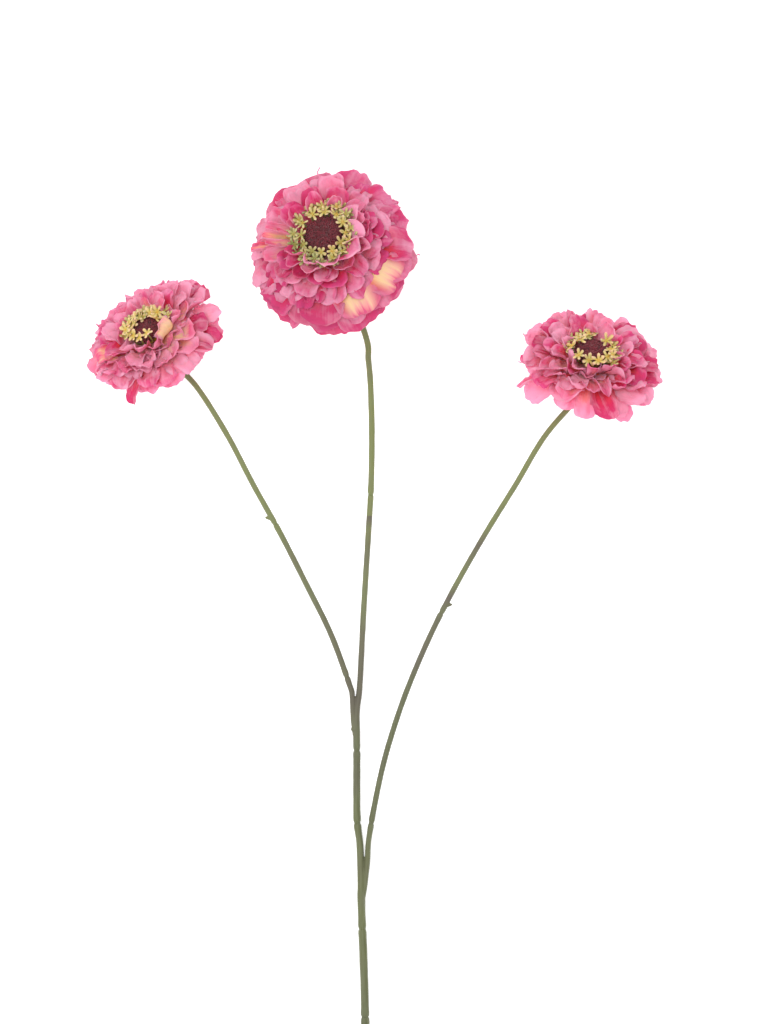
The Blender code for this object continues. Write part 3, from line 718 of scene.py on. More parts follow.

# %% [markdown]
# ## Petal cloth
# The cloth is white polyester, printed with soft airbrushed colour before it is cut: orange
# or cream where the petals meet the hub and deep pink in the middle. Along the rim a pale
# highlight is painted on, broken up by noise. So the colour follows the petal itself, from hub to
# tip and from the middle to the rim, and each petal gets a slightly different dose of dye.
#
# The mesh carries what the colour needs: a UV map (across, along), a colour attribute with
# the dose of tone, cream and deep dye, and the distance to the rim. Thin cloth also glows when
# light falls through it, so part of the shader is translucent. The back is the same cloth with
# less dye on it.

# %% Petal cloth material
def petal_cloth(name, dye, glow):
    """Dyed polyester. Dye is how much of the printed colour reaches this side."""
    material, tree = new_material(name)
    position = add(tree, "UVMap", {"uv_map": "blade"}).outputs[0]
    parts = add(tree, "SeparateXYZ", Vector=position)
    along = parts.outputs["Y"]
    dyed = carried(tree, "dose")
    tone, cream, deep = add(tree, "SeparateColor", Color=dyed["Color"]).outputs
    rim_highlight_dose = carried(tree, "rim_highlight")["Fac"]
    rim = carried(tree, "rim")["Fac"]
    seeded = add(tree, "CombineXYZ", X=parts.outputs["X"], Y=along,
                 Z=compute(tree, "MULTIPLY", tone, 57.0)).outputs[0]
    cloud = stretched_noise(tree, seeded, (2.2, 1.6, 1.0), 1.0)
    streak = stretched_noise(tree, seeded, (17.0, 1.3, 1.0), 3.0)
    crinkle = stretched_noise(tree, seeded, (5.0, 8.0, 1.0), 3.0)

    printed = compute(tree, "ADD", along, remapped(tree, cloud, 0.25, 0.75, -0.12, 0.12))
    pink = ramp(tree, printed, (
        (0.0, (1.0, 0.38, 0.09)), (0.36, (1.0, 0.18, 0.11)), (0.56, (0.91, 0.085, 0.20)),
        (0.78, (0.87, 0.15, 0.34)), (1.0, (0.90, 0.25, 0.46))))
    pink = mixed(tree, compute(tree, "MULTIPLY", deep, remapped(tree, cloud, 0.3, 0.7, 0.4, 0.9)),
                 pink, (0.72, 0.050, 0.175))
    light = compute(tree, "ADD", tone, remapped(tree, streak, 0.3, 0.7, -0.12, 0.12),
                    remapped(tree, crinkle, 0.3, 0.7, -0.16, 0.16),
                    remapped(tree, cloud, 0.3, 0.7, -0.35, 0.35))
    dark_side = mixed(tree, 1.0, pink, (0.93, 0.52, 0.80), "MULTIPLY")
    light_side = mixed(tree, 0.66, pink, (1.0, 0.63, 0.79))
    pink = mixed(tree, light, dark_side, light_side)
    # Each head's pink gets a colour balance of its own: on the side heads green and blue are
    # raised.
    head_balance = mixed(tree, dyed["Alpha"], (1.0, 1.12, 1.09), (0.97, 1.01, 1.02))
    pink = mixed(tree, 1.0, pink, head_balance, "MULTIPLY")
    spared = compute(tree, "SUBTRACT", 1.5, compute(tree, "MULTIPLY", cream, 0.5))
    spared = compute(tree, "ADD", compute(tree, "MULTIPLY", printed, spared),
                     remapped(tree, streak, 0.3, 0.7, -0.09, 0.09))
    creamy = ramp(tree, spared, (
        (0.0, (1.0, 0.55, 0.16)), (0.45, (1.0, 0.86, 0.50)), (0.64, (1.0, 0.76, 0.54)),
        (0.78, (1.0, 0.50, 0.50)), (0.92, (0.90, 0.17, 0.36))))
    aside = compute(tree, "ABSOLUTE", compute(tree, "SUBTRACT", parts.outputs["X"], 0.5))
    shown = compute(tree, "MULTIPLY", cream, remapped(tree, aside, 0.12, 0.44, 1.0, 0.1))
    colour = mixed(tree, shown, pink, creamy)
    # Painted highlight: a pale line along the rim, strongest at the edge and broken up by noise.
    rim_highlight = compute(tree, "MULTIPLY", rim_highlight_dose, remapped(tree, rim, 0.0, 2.2, 0.9, 0.0),
                   remapped(tree, cloud, 0.35, 0.6, 0.15, 1.0))
    colour = mixed(tree, rim_highlight, colour, (0.95, 0.56, 0.70))
    if dye < 1:
        bare_cloth = remapped(tree, shown, 0.0, 1.0, 1 - dye, 0.0)
        colour = mixed(tree, bare_cloth, colour, (0.97, 0.58, 0.72))

    relief = compute(tree, "ADD", compute(tree, "MULTIPLY", streak, 0.6),
                     compute(tree, "MULTIPLY", crinkle, 1.5))
    bump = add(tree, "Bump", Strength=0.38, Distance=0.0006, Height=relief)
    roughness = remapped(tree, streak, 0.2, 0.8, 0.56, 0.74)
    lit = add(tree, "BsdfPrincipled", Base_Color=colour, Roughness=roughness,
              Normal=bump.outputs[0], Specular_IOR_Level=0.3, Sheen_Weight=0.12,
              Sheen_Roughness=0.45)
    glowing = mixed(tree, 1.0, colour, (1.0, 0.72, 0.84), "MULTIPLY")
    through = add(tree, "BsdfTranslucent", Color=glowing, Normal=bump.outputs[0])
    cloth = add(tree, "MixShader", Fac=glow)
    tree.links.new(lit.outputs[0], cloth.inputs[1])
    tree.links.new(through.outputs[0], cloth.inputs[2])
    add(tree, "OutputMaterial", Surface=cloth.outputs[0])
    return material


cloth_front = petal_cloth("petal_cloth_front", 1.0, 0.48)
cloth_back = petal_cloth("petal_cloth_back", 0.72, 0.48)
print("petal cloth made, front and back")

# %% [markdown]
# ## Building the layers
# All petals of a layer are one mesh, because they are one piece of cloth on the real flower:
# a ring at the hub joins them. The sheet is then given its thickness on both sides. The lowest
# petals rest on the table, so whatever would hang below it is laid flat on it.

# %% Points, cells and what they carry
def outward(angle, radius=1.0, height=0.0):
    """A point at an angle, a radius and a height on a head's own axes."""
    return Vector((radius * math.cos(angle), radius * math.sin(angle), height))


def grid_cells(rows, columns):
    """The cells of a grid of points that is numbered row by row."""
    corners = [row * (columns + 1) + column for row in range(rows) for column in range(columns)]
    return [(low, low + columns + 1, low + columns + 2, low + 1) for low in corners]


def carry(mesh, name, values):
    """Give each point of a mesh a number, for its material to read."""
    mesh.attributes.new(name, "FLOAT", "POINT").data.foreach_set("value", values)


def carry_doses(mesh, doses):
    """Give each point of a mesh its doses of dye, as a colour with an alpha."""
    layer = mesh.color_attributes.new("dose", "FLOAT_COLOR", "POINT")
    layer.data.foreach_set("color", np.array(doses, np.float32).ravel())


def link_mesh(name, points, faces, place):
    """A smooth mesh object from head-sized points, set in place."""
    mesh = bpy.data.meshes.new(name)
    mesh.from_pydata([place @ Vector(point) for point in points], [], faces)
    mesh.shade_smooth()
    thing = bpy.data.objects.new(name, mesh)
    bpy.context.scene.collection.objects.link(thing)
    return thing


def add_part(points, faces, new_points, new_faces):
    """Put a new part's points and faces behind the others, and count its points."""
    first = len(points)
    points.extend(new_points)
    faces.extend(tuple(first + corner for corner in face) for face in new_faces)
    return len(new_points)


def spin(points, angle):
    """Points turned about the head's axis."""
    turn = np.array(((math.cos(angle), math.sin(angle), 0),
                     (-math.sin(angle), math.cos(angle), 0), (0, 0, 1)))
    return points @ turn


print("a single ring of twelve petals has", 12 * len(grid_cells(ROWS, COLUMNS)), "cells")

# %% Petal layers
CLOTH_THICKNESS = 0.28 * MM
# Loose threads at the cut edge: head, ring (from 0), direction seen from above and length.
FRAYS = (("centre", 3, 94, 6.6), ("centre", 2, 172, 3.0), ("centre", 1, 3, 2.5),
         ("left", 1, 200, 3.0), ("right", 1, 150, 2.5), ("right", 2, 170, 3.0))
FRAY_STEPS = 6
FRAY_HALF_WIDTH = 0.28
# What a hub point and a loose thread carry: rim, painted rim highlight, dose and place on a blade.
HUB_MARK = (2.0, 0.0, (0.5, 0.0, 0.0, 1.0), (0.5, 0.0))
FRAY_MARK = (1.0, 0.8, (0.6, 0.0, 0.0, 1.0), (0.5, 0.95))
REST_HEIGHT = cad_box[0].z + 0.25 * MM     # a petal that would hang lower lies flat here


def layer_faces(count):
    """The cells of every petal in a layer, and the ring that joins them at the hub."""
    wide = COLUMNS + 1
    tall = ROWS + 1
    inner = count * wide * tall
    faces = []
    for step in range(count):
        base = step * wide * tall
        after = ((step + 1) % count) * wide * tall
        faces += [tuple(base + corner for corner in cell) for cell in grid_cells(ROWS, COLUMNS)]
        for column in range(COLUMNS):
            here = inner + step * COLUMNS + column
            beyond = inner + (step * COLUMNS + column + 1) % (count * COLUMNS)
            faces.append((here, base + column, base + column + 1, beyond))
        joint = inner + (step + 1) * COLUMNS % (count * COLUMNS)
        faces.append((joint, base + COLUMNS, after))
    return faces


def fray(tip, before, length, dice):
    """A loose thread that hangs on from a petal's tip: a narrow, wavering strip."""
    ahead = (tip - before) * (1, 1, 0)
    ahead /= np.linalg.norm(ahead)
    aside = np.cross(ahead, (0, 0, 1))
    aside /= np.linalg.norm(aside)
    points = []
    for step in range(FRAY_STEPS + 1):
        waver = 0.5 * math.sin(1.1 * step + dice.uniform(0, 1.5))
        spot = tip + ahead * (length * step / FRAY_STEPS - 0.5) + aside * waver
        points += [spot - aside * FRAY_HALF_WIDTH, spot + aside * FRAY_HALF_WIDTH]
    return points, [(k, k + 2, k + 3, k + 1) for k in range(0, 2 * FRAY_STEPS, 2)]


def cloth_ring(name, level, petals):
    """One ring of petals round its hub: points, faces, and (rim, highlight, dose, uv) of each."""
    head = HEADS[name]
    points, marks = [], []
    for petal in petals:
        place, rim = petal_blade(head, level, petal)
        points.extend(spin(place.reshape(-1, 3), petal["angle"]))
        dose = (petal["tone"], petal["cream"], petal["deep"], head["cool"])
        spots = [((s + 1) / 2, v) for v in ALONG for s in ACROSS]
        marks += [(far, petal["rim_highlight"], dose, spot) for far, spot in zip(rim.reshape(-1), spots)]
    steps = len(petals) * COLUMNS
    for step in range(steps):
        angle = petals[0]["angle"] + math.tau / len(petals) * (step / COLUMNS - 0.5)
        points.append(outward(angle, HUB_HOLE, head["hub_base"] + HUB_STEP * level))
    marks += [HUB_MARK] * steps
    return points, layer_faces(len(petals)), marks


def petal_layer(name, layer):
    """One cloth layer of a head: a ring of petals, or two where the head is dense."""
    head = HEADS[name]
    double = head["doubled"] <= layer < len(head["petals"]) - 1
    points, faces, marks = [], [], []
    for level in (layer, layer + 0.5) if double else (layer,):
        petals = ring_petals(name, level)
        first = len(points)
        ring, cells, ring_marks = cloth_ring(name, level, petals)
        add_part(points, faces, ring, cells)
        marks += ring_marks
        for fray_name, fray_level, degrees, length in FRAYS:
            if (fray_name, fray_level) == (name, level):
                rows_before = nearest_petal(name, petals, degrees) * (ROWS + 1) + ROWS
                tip = first + rows_before * (COLUMNS + 1) + COLUMNS // 2 + 2
                thread, cells = fray(points[tip], points[tip - 2 * (COLUMNS + 1)], length,
                                     random.Random(degrees))
                marks += [FRAY_MARK] * add_part(points, faces, thread, cells)
    thing = link_mesh(f"{name}_layer_{layer + 1}", points, faces, head["place"])
    mesh = thing.data
    for vert in mesh.vertices:
        vert.co.z = max(vert.co.z, REST_HEIGHT)
    rims, rim_highlights, doses, uvs = zip(*marks)
    blade = mesh.uv_layers.new(name="blade")
    for loop, spot in zip(mesh.loops, blade.data):
        spot.uv = uvs[loop.vertex_index]
    carry(mesh, "rim", rims)
    carry(mesh, "rim_highlight", rim_highlights)
    carry_doses(mesh, doses)
    mesh.materials.append(cloth_front)
    mesh.materials.append(cloth_back)
    solid = thing.modifiers.new("cloth", "SOLIDIFY")
    solid.thickness = CLOTH_THICKNESS
    solid.offset = 0
    solid.material_offset = 1
    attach(thing, "root")
    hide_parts(f"{name}_petals_{layer + 1}")
    return thing


for name, head in HEADS.items():
    layers = [petal_layer(name, layer) for layer in range(len(head["petals"]))]
    print(name, "head:", len(layers), "layers,",
          sum(len(thing.data.polygons) for thing in layers), "cells")

# %% [markdown]
# ## The flocked disc
# The dark button in the middle is a moulded dome covered with short burgundy pile, like the
# flock on a jewel box. A bump texture alone would leave its outline as smooth as a marble, so
# the pile is real: more than a thousand small bent tufts stand on a lumpy dome. They are set
# out on a sunflower spiral, which covers a round top evenly without rows. Neighbouring tufts
# lean the same way, because a smooth noise steers them, and that makes the soft whorls that
# brushed pile has.

# %% Disc shape
DISC_SIDES = 48
TUFTS = 1100
PEG_RADIUS = 1.5
DOME_ROWS = 8                 # the rows of the outline that carry pile
TUFT_RINGS = ((-0.15, 1.0), (0.55, 0.75))     # how far along a tuft, and how thick there
LUMP_HEIGHT = 0.45
LUMP_SCALE = 0.35
GOLDEN_ANGLE = 2.39996        # the turn from one tuft to the next on a sunflower spiral


def disc_outline(head):
    """Radius and height from the top of the dome, round its rim, to the end of the peg."""
    top = head["dome"]
    wide = head["disc"]
    under = head["hub_base"] + HUB_STEP * (len(head["petals"]) + 1)
    peg_end = head["hub_base"] - 3.2
    return [(0.12 * wide, top - 0.02), (0.28 * wide, top - 0.08), (0.45 * wide, top - 0.2),
            (0.62 * wide, top - 0.45), (0.76 * wide, top - 0.85), (0.88 * wide, top - 1.45),
            (0.96 * wide, top - 2.1), (wide, top - 3.0), (0.97 * wide, top - 4.0),
            (0.9 * wide, top - 4.6), (0.5 * wide, under + 0.6), (PEG_RADIUS, under),
            (PEG_RADIUS, peg_end)]


def tube_cells(rings, sides):
    """The cells of a tube whose points are numbered ring by ring."""
    pairs = [(ring * sides + k, ring * sides + (k + 1) % sides)
             for ring in range(rings - 1) for k in range(sides)]
    return [(low, beside, beside + sides, low + sides) for low, beside in pairs]


def lathe(outline, sides, start=None, end=None):
    """Points and faces of an outline spun round the axis, with a pole at either end."""
    points = [outward(math.tau * k / sides, radius, height)
              for radius, height in outline for k in range(sides)]
    faces = [(a, d, c, b) for a, b, c, d in tube_cells(len(outline), sides)]
    for pole, ring in ((start, 0), (end, len(outline) - 1)):
        if pole is not None:
            points.append(Vector((0, 0, pole)))
            for k in range(sides):
                pair = (ring * sides + k, ring * sides + (k + 1) % sides)
                faces.append((len(points) - 1, *(pair if ring == 0 else pair[::-1])))
    return points, faces


def tuft(base, lean, thick, length):
    """A bent, pointed tuft of pile: two square rings and a tip."""
    lean = lean.normalized()
    aside = lean.orthogonal().normalized()
    other = lean.cross(aside)
    points = []
    for reach, radius in TUFT_RINGS:
        for k in range(4):
            angle = math.tau * k / 4
            ring = (aside * math.cos(angle) + other * math.sin(angle)) * radius * thick
            points.append(base + lean * reach * length + ring)
    points.append(base + (lean + aside * 0.25) * length)
    faces = tube_cells(2, 4)
    faces += [(k + 4, (k + 1) % 4 + 4, 8) for k in range(4)]
    faces.append((3, 2, 1, 0))
    return points, faces


print("tufts cover", round(math.pi * HEADS["centre"]["disc"] ** 2 / TUFTS, 2), "square mm each")

# %% Discs with their pile
def lumpy(point, seed):
    """Lift a point of the dome by its low lumps."""
    point.z += LUMP_HEIGHT * noise.noise(Vector((point.x, point.y, seed)) * LUMP_SCALE)
    return point


def flocked_disc(name):
    """The dome, its pile and its peg as one piece."""
    head = HEADS[name]
    dice = random.Random(f"{name} disc")
    seed = dice.uniform(0, 50)
    outline = disc_outline(head)
    points, faces = lathe(outline, DISC_SIDES, head["dome"], outline[-1][1])
    points = [lumpy(point, seed) if point.z > head["dome"] - 5 else point for point in points]
    pile = [0.0] * len(points)
    radii, heights = zip((0.0, head["dome"]), *outline[:DOME_ROWS])
    for step in range(TUFTS):
        radius = head["disc"] * math.sqrt((step + 0.5) / TUFTS) * 0.995
        angle = step * GOLDEN_ANGLE + dice.uniform(-0.1, 0.1)
        spot = lumpy(outward(angle, radius, float(np.interp(radius, radii, heights))), seed)
        whorl = math.tau * noise.noise(Vector((spot.x, spot.y, seed + 9)) * 0.30)
        lean = outward(angle, (radius / head["disc"]) ** 3, 1.0) + outward(whorl) * 0.75
        lean += Vector((dice.uniform(-1, 1), dice.uniform(-1, 1), 0)) * 0.35
        thick = dice.uniform(0.18, 0.32)
        add_part(points, faces, *tuft(spot, lean, thick, dice.uniform(0.5, 1.3)))
        pile.extend([0.0] * 4 + [0.5] * 4 + [1.0])
    thing = link_mesh(f"{name}_flocked_disc", points, faces, head["place"])
    carry(thing.data, "pile", pile)
    thing.data.materials.append(disc_flock)
    print(thing.name, len(faces), "faces with", TUFTS, "tufts")
    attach(thing, "root")
    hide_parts(f"{name}_disc")

# %% [markdown]
# ## Flock finish
# Pile swallows light between its hairs and catches it on the tips. So the colour goes from
# nearly black at the foot of a tuft to burgundy at its tip, with patches of a redder dye, and
# the surface is fully rough with a soft sheen.

# %% Flock material and discs
disc_flock, tree = new_material("burgundy_flock")
flock_colour = ramp(tree, carried(tree, "pile")["Fac"], (
    (0.0, (0.055, 0.008, 0.012)), (0.55, (0.17, 0.024, 0.034)), (1.0, (0.33, 0.060, 0.075))))
flock_colour = mixed(tree, remapped(tree, speckle(tree, 420.0), 0.35, 0.7, 0.0, 0.5),
                     flock_colour, (0.26, 0.025, 0.045))
surface(tree, Base_Color=flock_colour, Roughness=0.95, Specular_IOR_Level=0.1,
        Sheen_Weight=0.25, Sheen_Roughness=0.5)
for name in HEADS:
    flocked_disc(name)

# %% [markdown]
# ## Florets
# Round the disc stands a ring of small moulded stars, each on a thin stalk that rises from a
# collar under the disc. They are soft plastic, so the lobes are round paddles and not sharp
# points, and no two lobes bend alike. The stars stand in two rows, as in the CAD ring, and a
# lower, greener row fills in between them and partly hides behind the petals.
#
# A paddle is a short tube whose rings are flat ellipses: thin at the neck, widest near the
# end, and closed at the tip. One function makes it along +X, and a matrix aims each one.

# %% Where the florets stand
# Each row of stars: how many, how far beyond the disc, how far above its top, how green.
FLORET_ROWS = {
    "centre": ((12, 1.9, -0.2, 0.1), (13, 4.7, -0.6, 0.3), (16, 6.3, -2.0, 0.8)),
    "left": ((12, -0.5, 1.0, 0.0), (12, 2.0, 0.6, 0.0), (14, 4.2, -1.2, 0.4)),
    "right": ((10, 0.9, 0.3, 0.0), (9, 2.9, 0.1, 0.0), (12, 4.4, -1.4, 0.5)),
}
# Where petals cover the ring: the direction seen from above, how far to either side of it, and
# from which row outwards.
BARE_SECTORS = {"centre": (), "left": ((-5, 0.6, 0), (-100, 0.9, 1)),
                "right": ((48, 0.3, 0), (190, 0.3, 0), (-95, 0.9, 1))}
# Where the stars lean in over the disc: the direction and how far.
LEANS = {"centre": (0, 0.0), "left": (128, 3.2), "right": (110, 1.5)}
GREENEST = 225                # the middle ring is greener on the side that is seen here
print({name: sum(row[0] for row in rows) for name, rows in FLORET_ROWS.items()}, "places")

# %% Floret shapes
PADDLE_SIDES = 8
# How far along a paddle each ring lies, and how wide and thick it is there.
PADDLE_RINGS = ((0.0, 0.46, 0.34), (0.25, 0.48, 0.34), (0.5, 0.60, 0.32), (0.72, 0.68, 0.28),
                (0.88, 0.56, 0.24), (0.97, 0.30, 0.14))
# Radius and height of the small raised eye in the middle of a star, from its top down.
EYE_TOP, EYE_FOOT = 0.66, -0.5
EYE = ((0.25, 0.62), (0.52, 0.50), (0.66, 0.2), (0.6, -0.2), (0.3, -0.45))
STALK_RADII = (0.55, 0.5, 0.42, 0.42)


def paddle(length, width, bend):
    """A floret lobe along +X that bends up or down towards its end."""
    points = []
    for reach, half, thick in PADDLE_RINGS:
        lift = bend * reach * reach * length
        for k in range(PADDLE_SIDES):
            angle = math.tau * k / PADDLE_SIDES
            points.append(Vector((reach * length, half * width * math.cos(angle),
                                  thick * math.sin(angle) + lift)))
    points += [Vector((length, 0, bend * length)), Vector((-0.1, 0, 0))]
    faces = tube_cells(len(PADDLE_RINGS), PADDLE_SIDES)
    last = (len(PADDLE_RINGS) - 1) * PADDLE_SIDES
    for k in range(PADDLE_SIDES):
        after = (k + 1) % PADDLE_SIDES
        faces.append((last + k, last + after, len(points) - 2))
        faces.append((after, k, len(points) - 1))
    reaches = [ring[0] for ring in PADDLE_RINGS for k in range(PADDLE_SIDES)] + [1.0, 0.0]
    return points, faces, reaches


def sweep(path, radii, sides, flat=1.0):
    """A closed tube along a path. Flat squashes its section sideways."""
    points = []
    aside = None
    for index, place in enumerate(path):
        ahead = (path[min(index + 1, len(path) - 1)] - path[max(index - 1, 0)]).normalized()
        aside = (ahead.orthogonal() if aside is None
                 else aside - ahead * aside.dot(ahead)).normalized()
        other = ahead.cross(aside)
        for k in range(sides):
            angle = math.tau * k / sides
            points.append(place + (aside * math.cos(angle) + other * math.sin(angle) * flat)
                          * radii[index])
    first_cap = tuple(reversed(range(sides)))
    last_cap = tuple(range((len(path) - 1) * sides, len(path) * sides))
    return points, tube_cells(len(path), sides) + [first_cap, last_cap]


def floret_star(centre, facing, lobes, size, dice):
    """One star: its lobes round a small raised eye."""
    points, faces, reaches = [], [], []
    turn = Vector((0, 0, 1)).rotation_difference(facing.normalized()).to_matrix().to_4x4()
    first = dice.uniform(0, math.tau)
    for lobe in range(lobes):
        spread = first + math.tau * lobe / lobes + dice.uniform(-0.14, 0.14)
        shape, cells, along = paddle(size * dice.uniform(0.88, 1.1), dice.uniform(1.0, 1.35),
                                     dice.uniform(-0.25, 0.6))
        place = (Matrix.Translation(centre) @ turn @ Matrix.Rotation(spread, 4, "Z")
                 @ Matrix.Rotation(dice.uniform(-0.3, 0.1), 4, "Y"))
        add_part(points, faces, [place @ point for point in shape], cells)
        reaches += along
    eye, cells = lathe(EYE, PADDLE_SIDES, EYE_TOP, EYE_FOOT)
    place = Matrix.Translation(centre) @ turn
    add_part(points, faces, [place @ point for point in eye], cells)
    reaches += [0.0] * len(eye)
    return points, faces, reaches


print("a lobe has", len(paddle(3.0, 1.0, 0.0)[1]), "faces")

# %% Floret rings
def bare(name, row, angle):
    """Whether a petal lies over the ring here, so that no star stands there."""
    return any(apart(name, angle, middle) < spread and row >= first
               for middle, spread, first in BARE_SECTORS[name])


def floret_ring(name):
    """The collar, the stalks and the stars as one moulding."""
    head = HEADS[name]
    dice = random.Random(f"{name} florets")
    hub = head["hub_base"] + HUB_STEP * len(head["petals"])
    rim = head["disc"]
    points, faces = lathe([(HUB_HOLE, hub + 0.3), (HUB_RADIUS, hub + 0.35), (5.0, hub),
                           (HUB_RADIUS, hub - 0.25), (HUB_HOLE, hub - 0.25),
                           (HUB_HOLE, hub + 0.3)], 32)
    doses = [(0.0, 0.2, 0.0, 1.0)] * len(points)
    stars = [(row, math.tau * (step + 0.37 * row) / count, *place)
             for row, (count, *place) in enumerate(FLORET_ROWS[name]) for step in range(count)]
    stars = [star for star in stars if not bare(name, star[0], star[1])]
    towards, lean = LEANS[name]
    for row, angle, beyond, rise, green in stars:
        angle += dice.uniform(-0.08, 0.08)
        over = max(0.0, math.cos(angle - seen_angle(name, towards)))
        beyond -= lean * over
        rise += 0.4 * lean * over
        out = outward(angle)
        centre = (out * (rim + beyond + dice.uniform(-0.4, 0.4))
                  + Vector((0, 0, head["dome"] + rise + dice.uniform(-0.6, 0.3))))
        stalk = [out * (HUB_RADIUS - 0.6) + Vector((0, 0, hub)),
                 out * (rim - 1.2) + Vector((0, 0, hub + 1.2)),
                 out * (rim + 0.5) + Vector((0, 0, hub + 0.45 * (centre.z - hub))), centre]
        made = add_part(points, faces, *sweep(stalk, STALK_RADII, 6))
        doses += [(0.0, dice.uniform(0.0, 0.3), 1.0, 1.0)] * made
        facing = out * dice.uniform(-0.2, 0.7) + Vector((dice.uniform(-0.4, 0.4),
                                                        dice.uniform(-0.4, 0.4), 1.0))
        lobes = dice.choice((5, 6, 6))
        size = dice.uniform(2.7, 3.7)
        shape, cells, along = floret_star(centre, facing, lobes, size, dice)
        add_part(points, faces, shape, cells)
        tone = dice.uniform(0.0, 1.0)
        green += dice.uniform(-0.1, 0.2)
        if name == "centre":
            green += 0.5 * max(0.0, math.cos(angle - seen_angle(name, GREENEST)))
        doses += [(reach, tone, green, 1.0) for reach in along]
    thing = link_mesh(f"{name}_florets", points, faces, head["place"])
    carry_doses(thing.data, doses)
    thing.data.materials.append(floret_plastic)
    print(thing.name, len(stars), "stars,", len(faces), "faces")
    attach(thing, "root")
    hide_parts(f"{name}_floret_ring")

# %% [markdown]
# ## Floret finish
# The moulding is dyed in one soft yellow-green, greener towards the stalks, and the lobe ends
# are dabbed with cream. The dose attribute says how far out on a lobe a point lies, which
# tone its star has and whether it belongs to the green parts.

# %% Floret material and rings
floret_plastic, tree = new_material("floret_plastic")
reach, tone, lime_share = add(tree, "SeparateColor", Color=carried(tree, "dose")["Color"]).outputs
mottle = speckle(tree, 700.0)
reach = compute(tree, "ADD", reach, remapped(tree, mottle, 0.3, 0.7, -0.15, 0.15))
yellow = ramp(tree, reach, ((0.0, (0.62, 0.38, 0.045)), (0.45, (0.58, 0.45, 0.13)),
                            (0.85, (0.74, 0.53, 0.26)), (1.0, (0.82, 0.48, 0.34))))
lime = ramp(tree, reach, ((0.0, (0.20, 0.20, 0.045)), (0.5, (0.25, 0.27, 0.085)),
                          (1.0, (0.42, 0.39, 0.18))))
floret_colour = mixed(tree, lime_share, yellow, lime)
floret_colour = mixed(tree, remapped(tree, tone, 0.45, 1.0, 0.0, 0.45), floret_colour, lime)
bump = add(tree, "Bump", Strength=0.2, Distance=0.0002, Height=mottle)
surface(tree, Base_Color=floret_colour, Roughness=remapped(tree, mottle, 0.3, 0.7, 0.42, 0.58),
        Normal=bump.outputs[0], Subsurface_Weight=0.15, Subsurface_Scale=0.001)
for name in HEADS:
    floret_ring(name)

# %% [markdown]
# ## Calyx
# Behind the petals sits a small green cup with the wire's socket in its back. A zinnia's cup
# is clad in overlapping scales, and the moulded one copies them: three rows of round-ended
# scales, each row staggered against the next like roof tiles, with thin dark margins. Each
# scale is a small curved grid laid on the cup, thickened, with its tip standing clear.

# %% Calyx shape
CALYX_DEPTH = 8.0
CALYX_RIM = 5.6
CALYX_NECK = 1.7
SCALE_ROWS = 6
SCALE_COLUMNS = 6
# Each row of scales: how many, how far up the cup they start, their length and their width.
SCALES = ((8, 0.42, 4.6, 4.4), (8, 0.22, 4.4, 4.0), (7, 0.04, 4.0, 3.2))
SCALE_THICKNESS = 0.22


def cup_radius(height):
    """Radius of the calyx at a height above its neck."""
    return float(np.interp(height, (0, 1.5, 0.6 * CALYX_DEPTH, CALYX_DEPTH - 0.6, CALYX_DEPTH),
                           (CALYX_NECK, CALYX_NECK + 0.5, 0.72 * CALYX_RIM, CALYX_RIM,
                            CALYX_RIM)))


def calyx_scale(bottom, row, angle):
    """One scale laid on the cup: its back and its front as grids, and the rim between them."""
    start, length, width = SCALES[row][1:]
    points, margins = [], []
    for layer in (0.0, SCALE_THICKNESS):
        for v in range(SCALE_ROWS + 1):
            along = v / SCALE_ROWS
            height = start * CALYX_DEPTH + along * length
            half = 0.5 * width * (1 - along ** 3.0) ** 0.6 * (0.75 + 0.35 * along)
            out = (cup_radius(min(height, CALYX_DEPTH)) + 0.12 + 0.12 * (2 - row)
                   + 0.5 * along ** 3 + layer)
            for u in range(SCALE_COLUMNS + 1):
                side = 2 * u / SCALE_COLUMNS - 1
                points.append(outward(angle + side * half / max(out, 1.0),
                                      out - 0.10 * side * side,
                                      bottom + min(height, CALYX_DEPTH + 0.2)))
                margins.append(abs(side) * (0.4 + 0.6 * along))
    wide = SCALE_COLUMNS + 1
    size = wide * (SCALE_ROWS + 1)
    cells = []
    for a, b, c, d in grid_cells(SCALE_ROWS, SCALE_COLUMNS):
        cells += [(a, b, c, d), (size + a, size + d, size + c, size + b)]
    rim = ([u for u in range(wide)]
           + [v * wide + SCALE_COLUMNS for v in range(1, SCALE_ROWS + 1)]
           + [SCALE_ROWS * wide + u for u in reversed(range(SCALE_COLUMNS))]
           + [v * wide for v in reversed(range(1, SCALE_ROWS))])
    for here, after in zip(rim, rim[1:] + rim[:1]):
        cells.append((here, after, size + after, size + here))
    return points, cells, margins


print(sum(row[0] for row in SCALES), "scales on each calyx")

# %% Calyx cups
def calyx_cup(name):
    """The cup and its scales as one piece."""
    head = HEADS[name]
    dice = random.Random(f"{name} calyx")
    top = head["hub_base"] - 0.5
    bottom = top - CALYX_DEPTH
    outline = [(HUB_HOLE, top)] + [(cup_radius(height), bottom + height)
                                   for height in np.linspace(CALYX_DEPTH, 0, 14)]
    points, faces = lathe(outline, 32, top - 3.0, bottom)
    across = [0.5] * len(points)
    for row, (count, *_) in enumerate(SCALES):
        for step in range(count):
            angle = math.tau * (step + 0.5 * (row % 2)) / count + dice.uniform(-0.05, 0.05)
            shape, cells, margins = calyx_scale(bottom, row, angle)
            add_part(points, faces, shape, cells)
            across += margins
    thing = link_mesh(f"{name}_calyx_cup", points, faces, head["place"])
    carry(thing.data, "margin", across)
    thing.data.materials.append(calyx_plastic)
    print(thing.name, len(faces), "faces")
    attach(thing, "root")
    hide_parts(f"{name}_calyx")


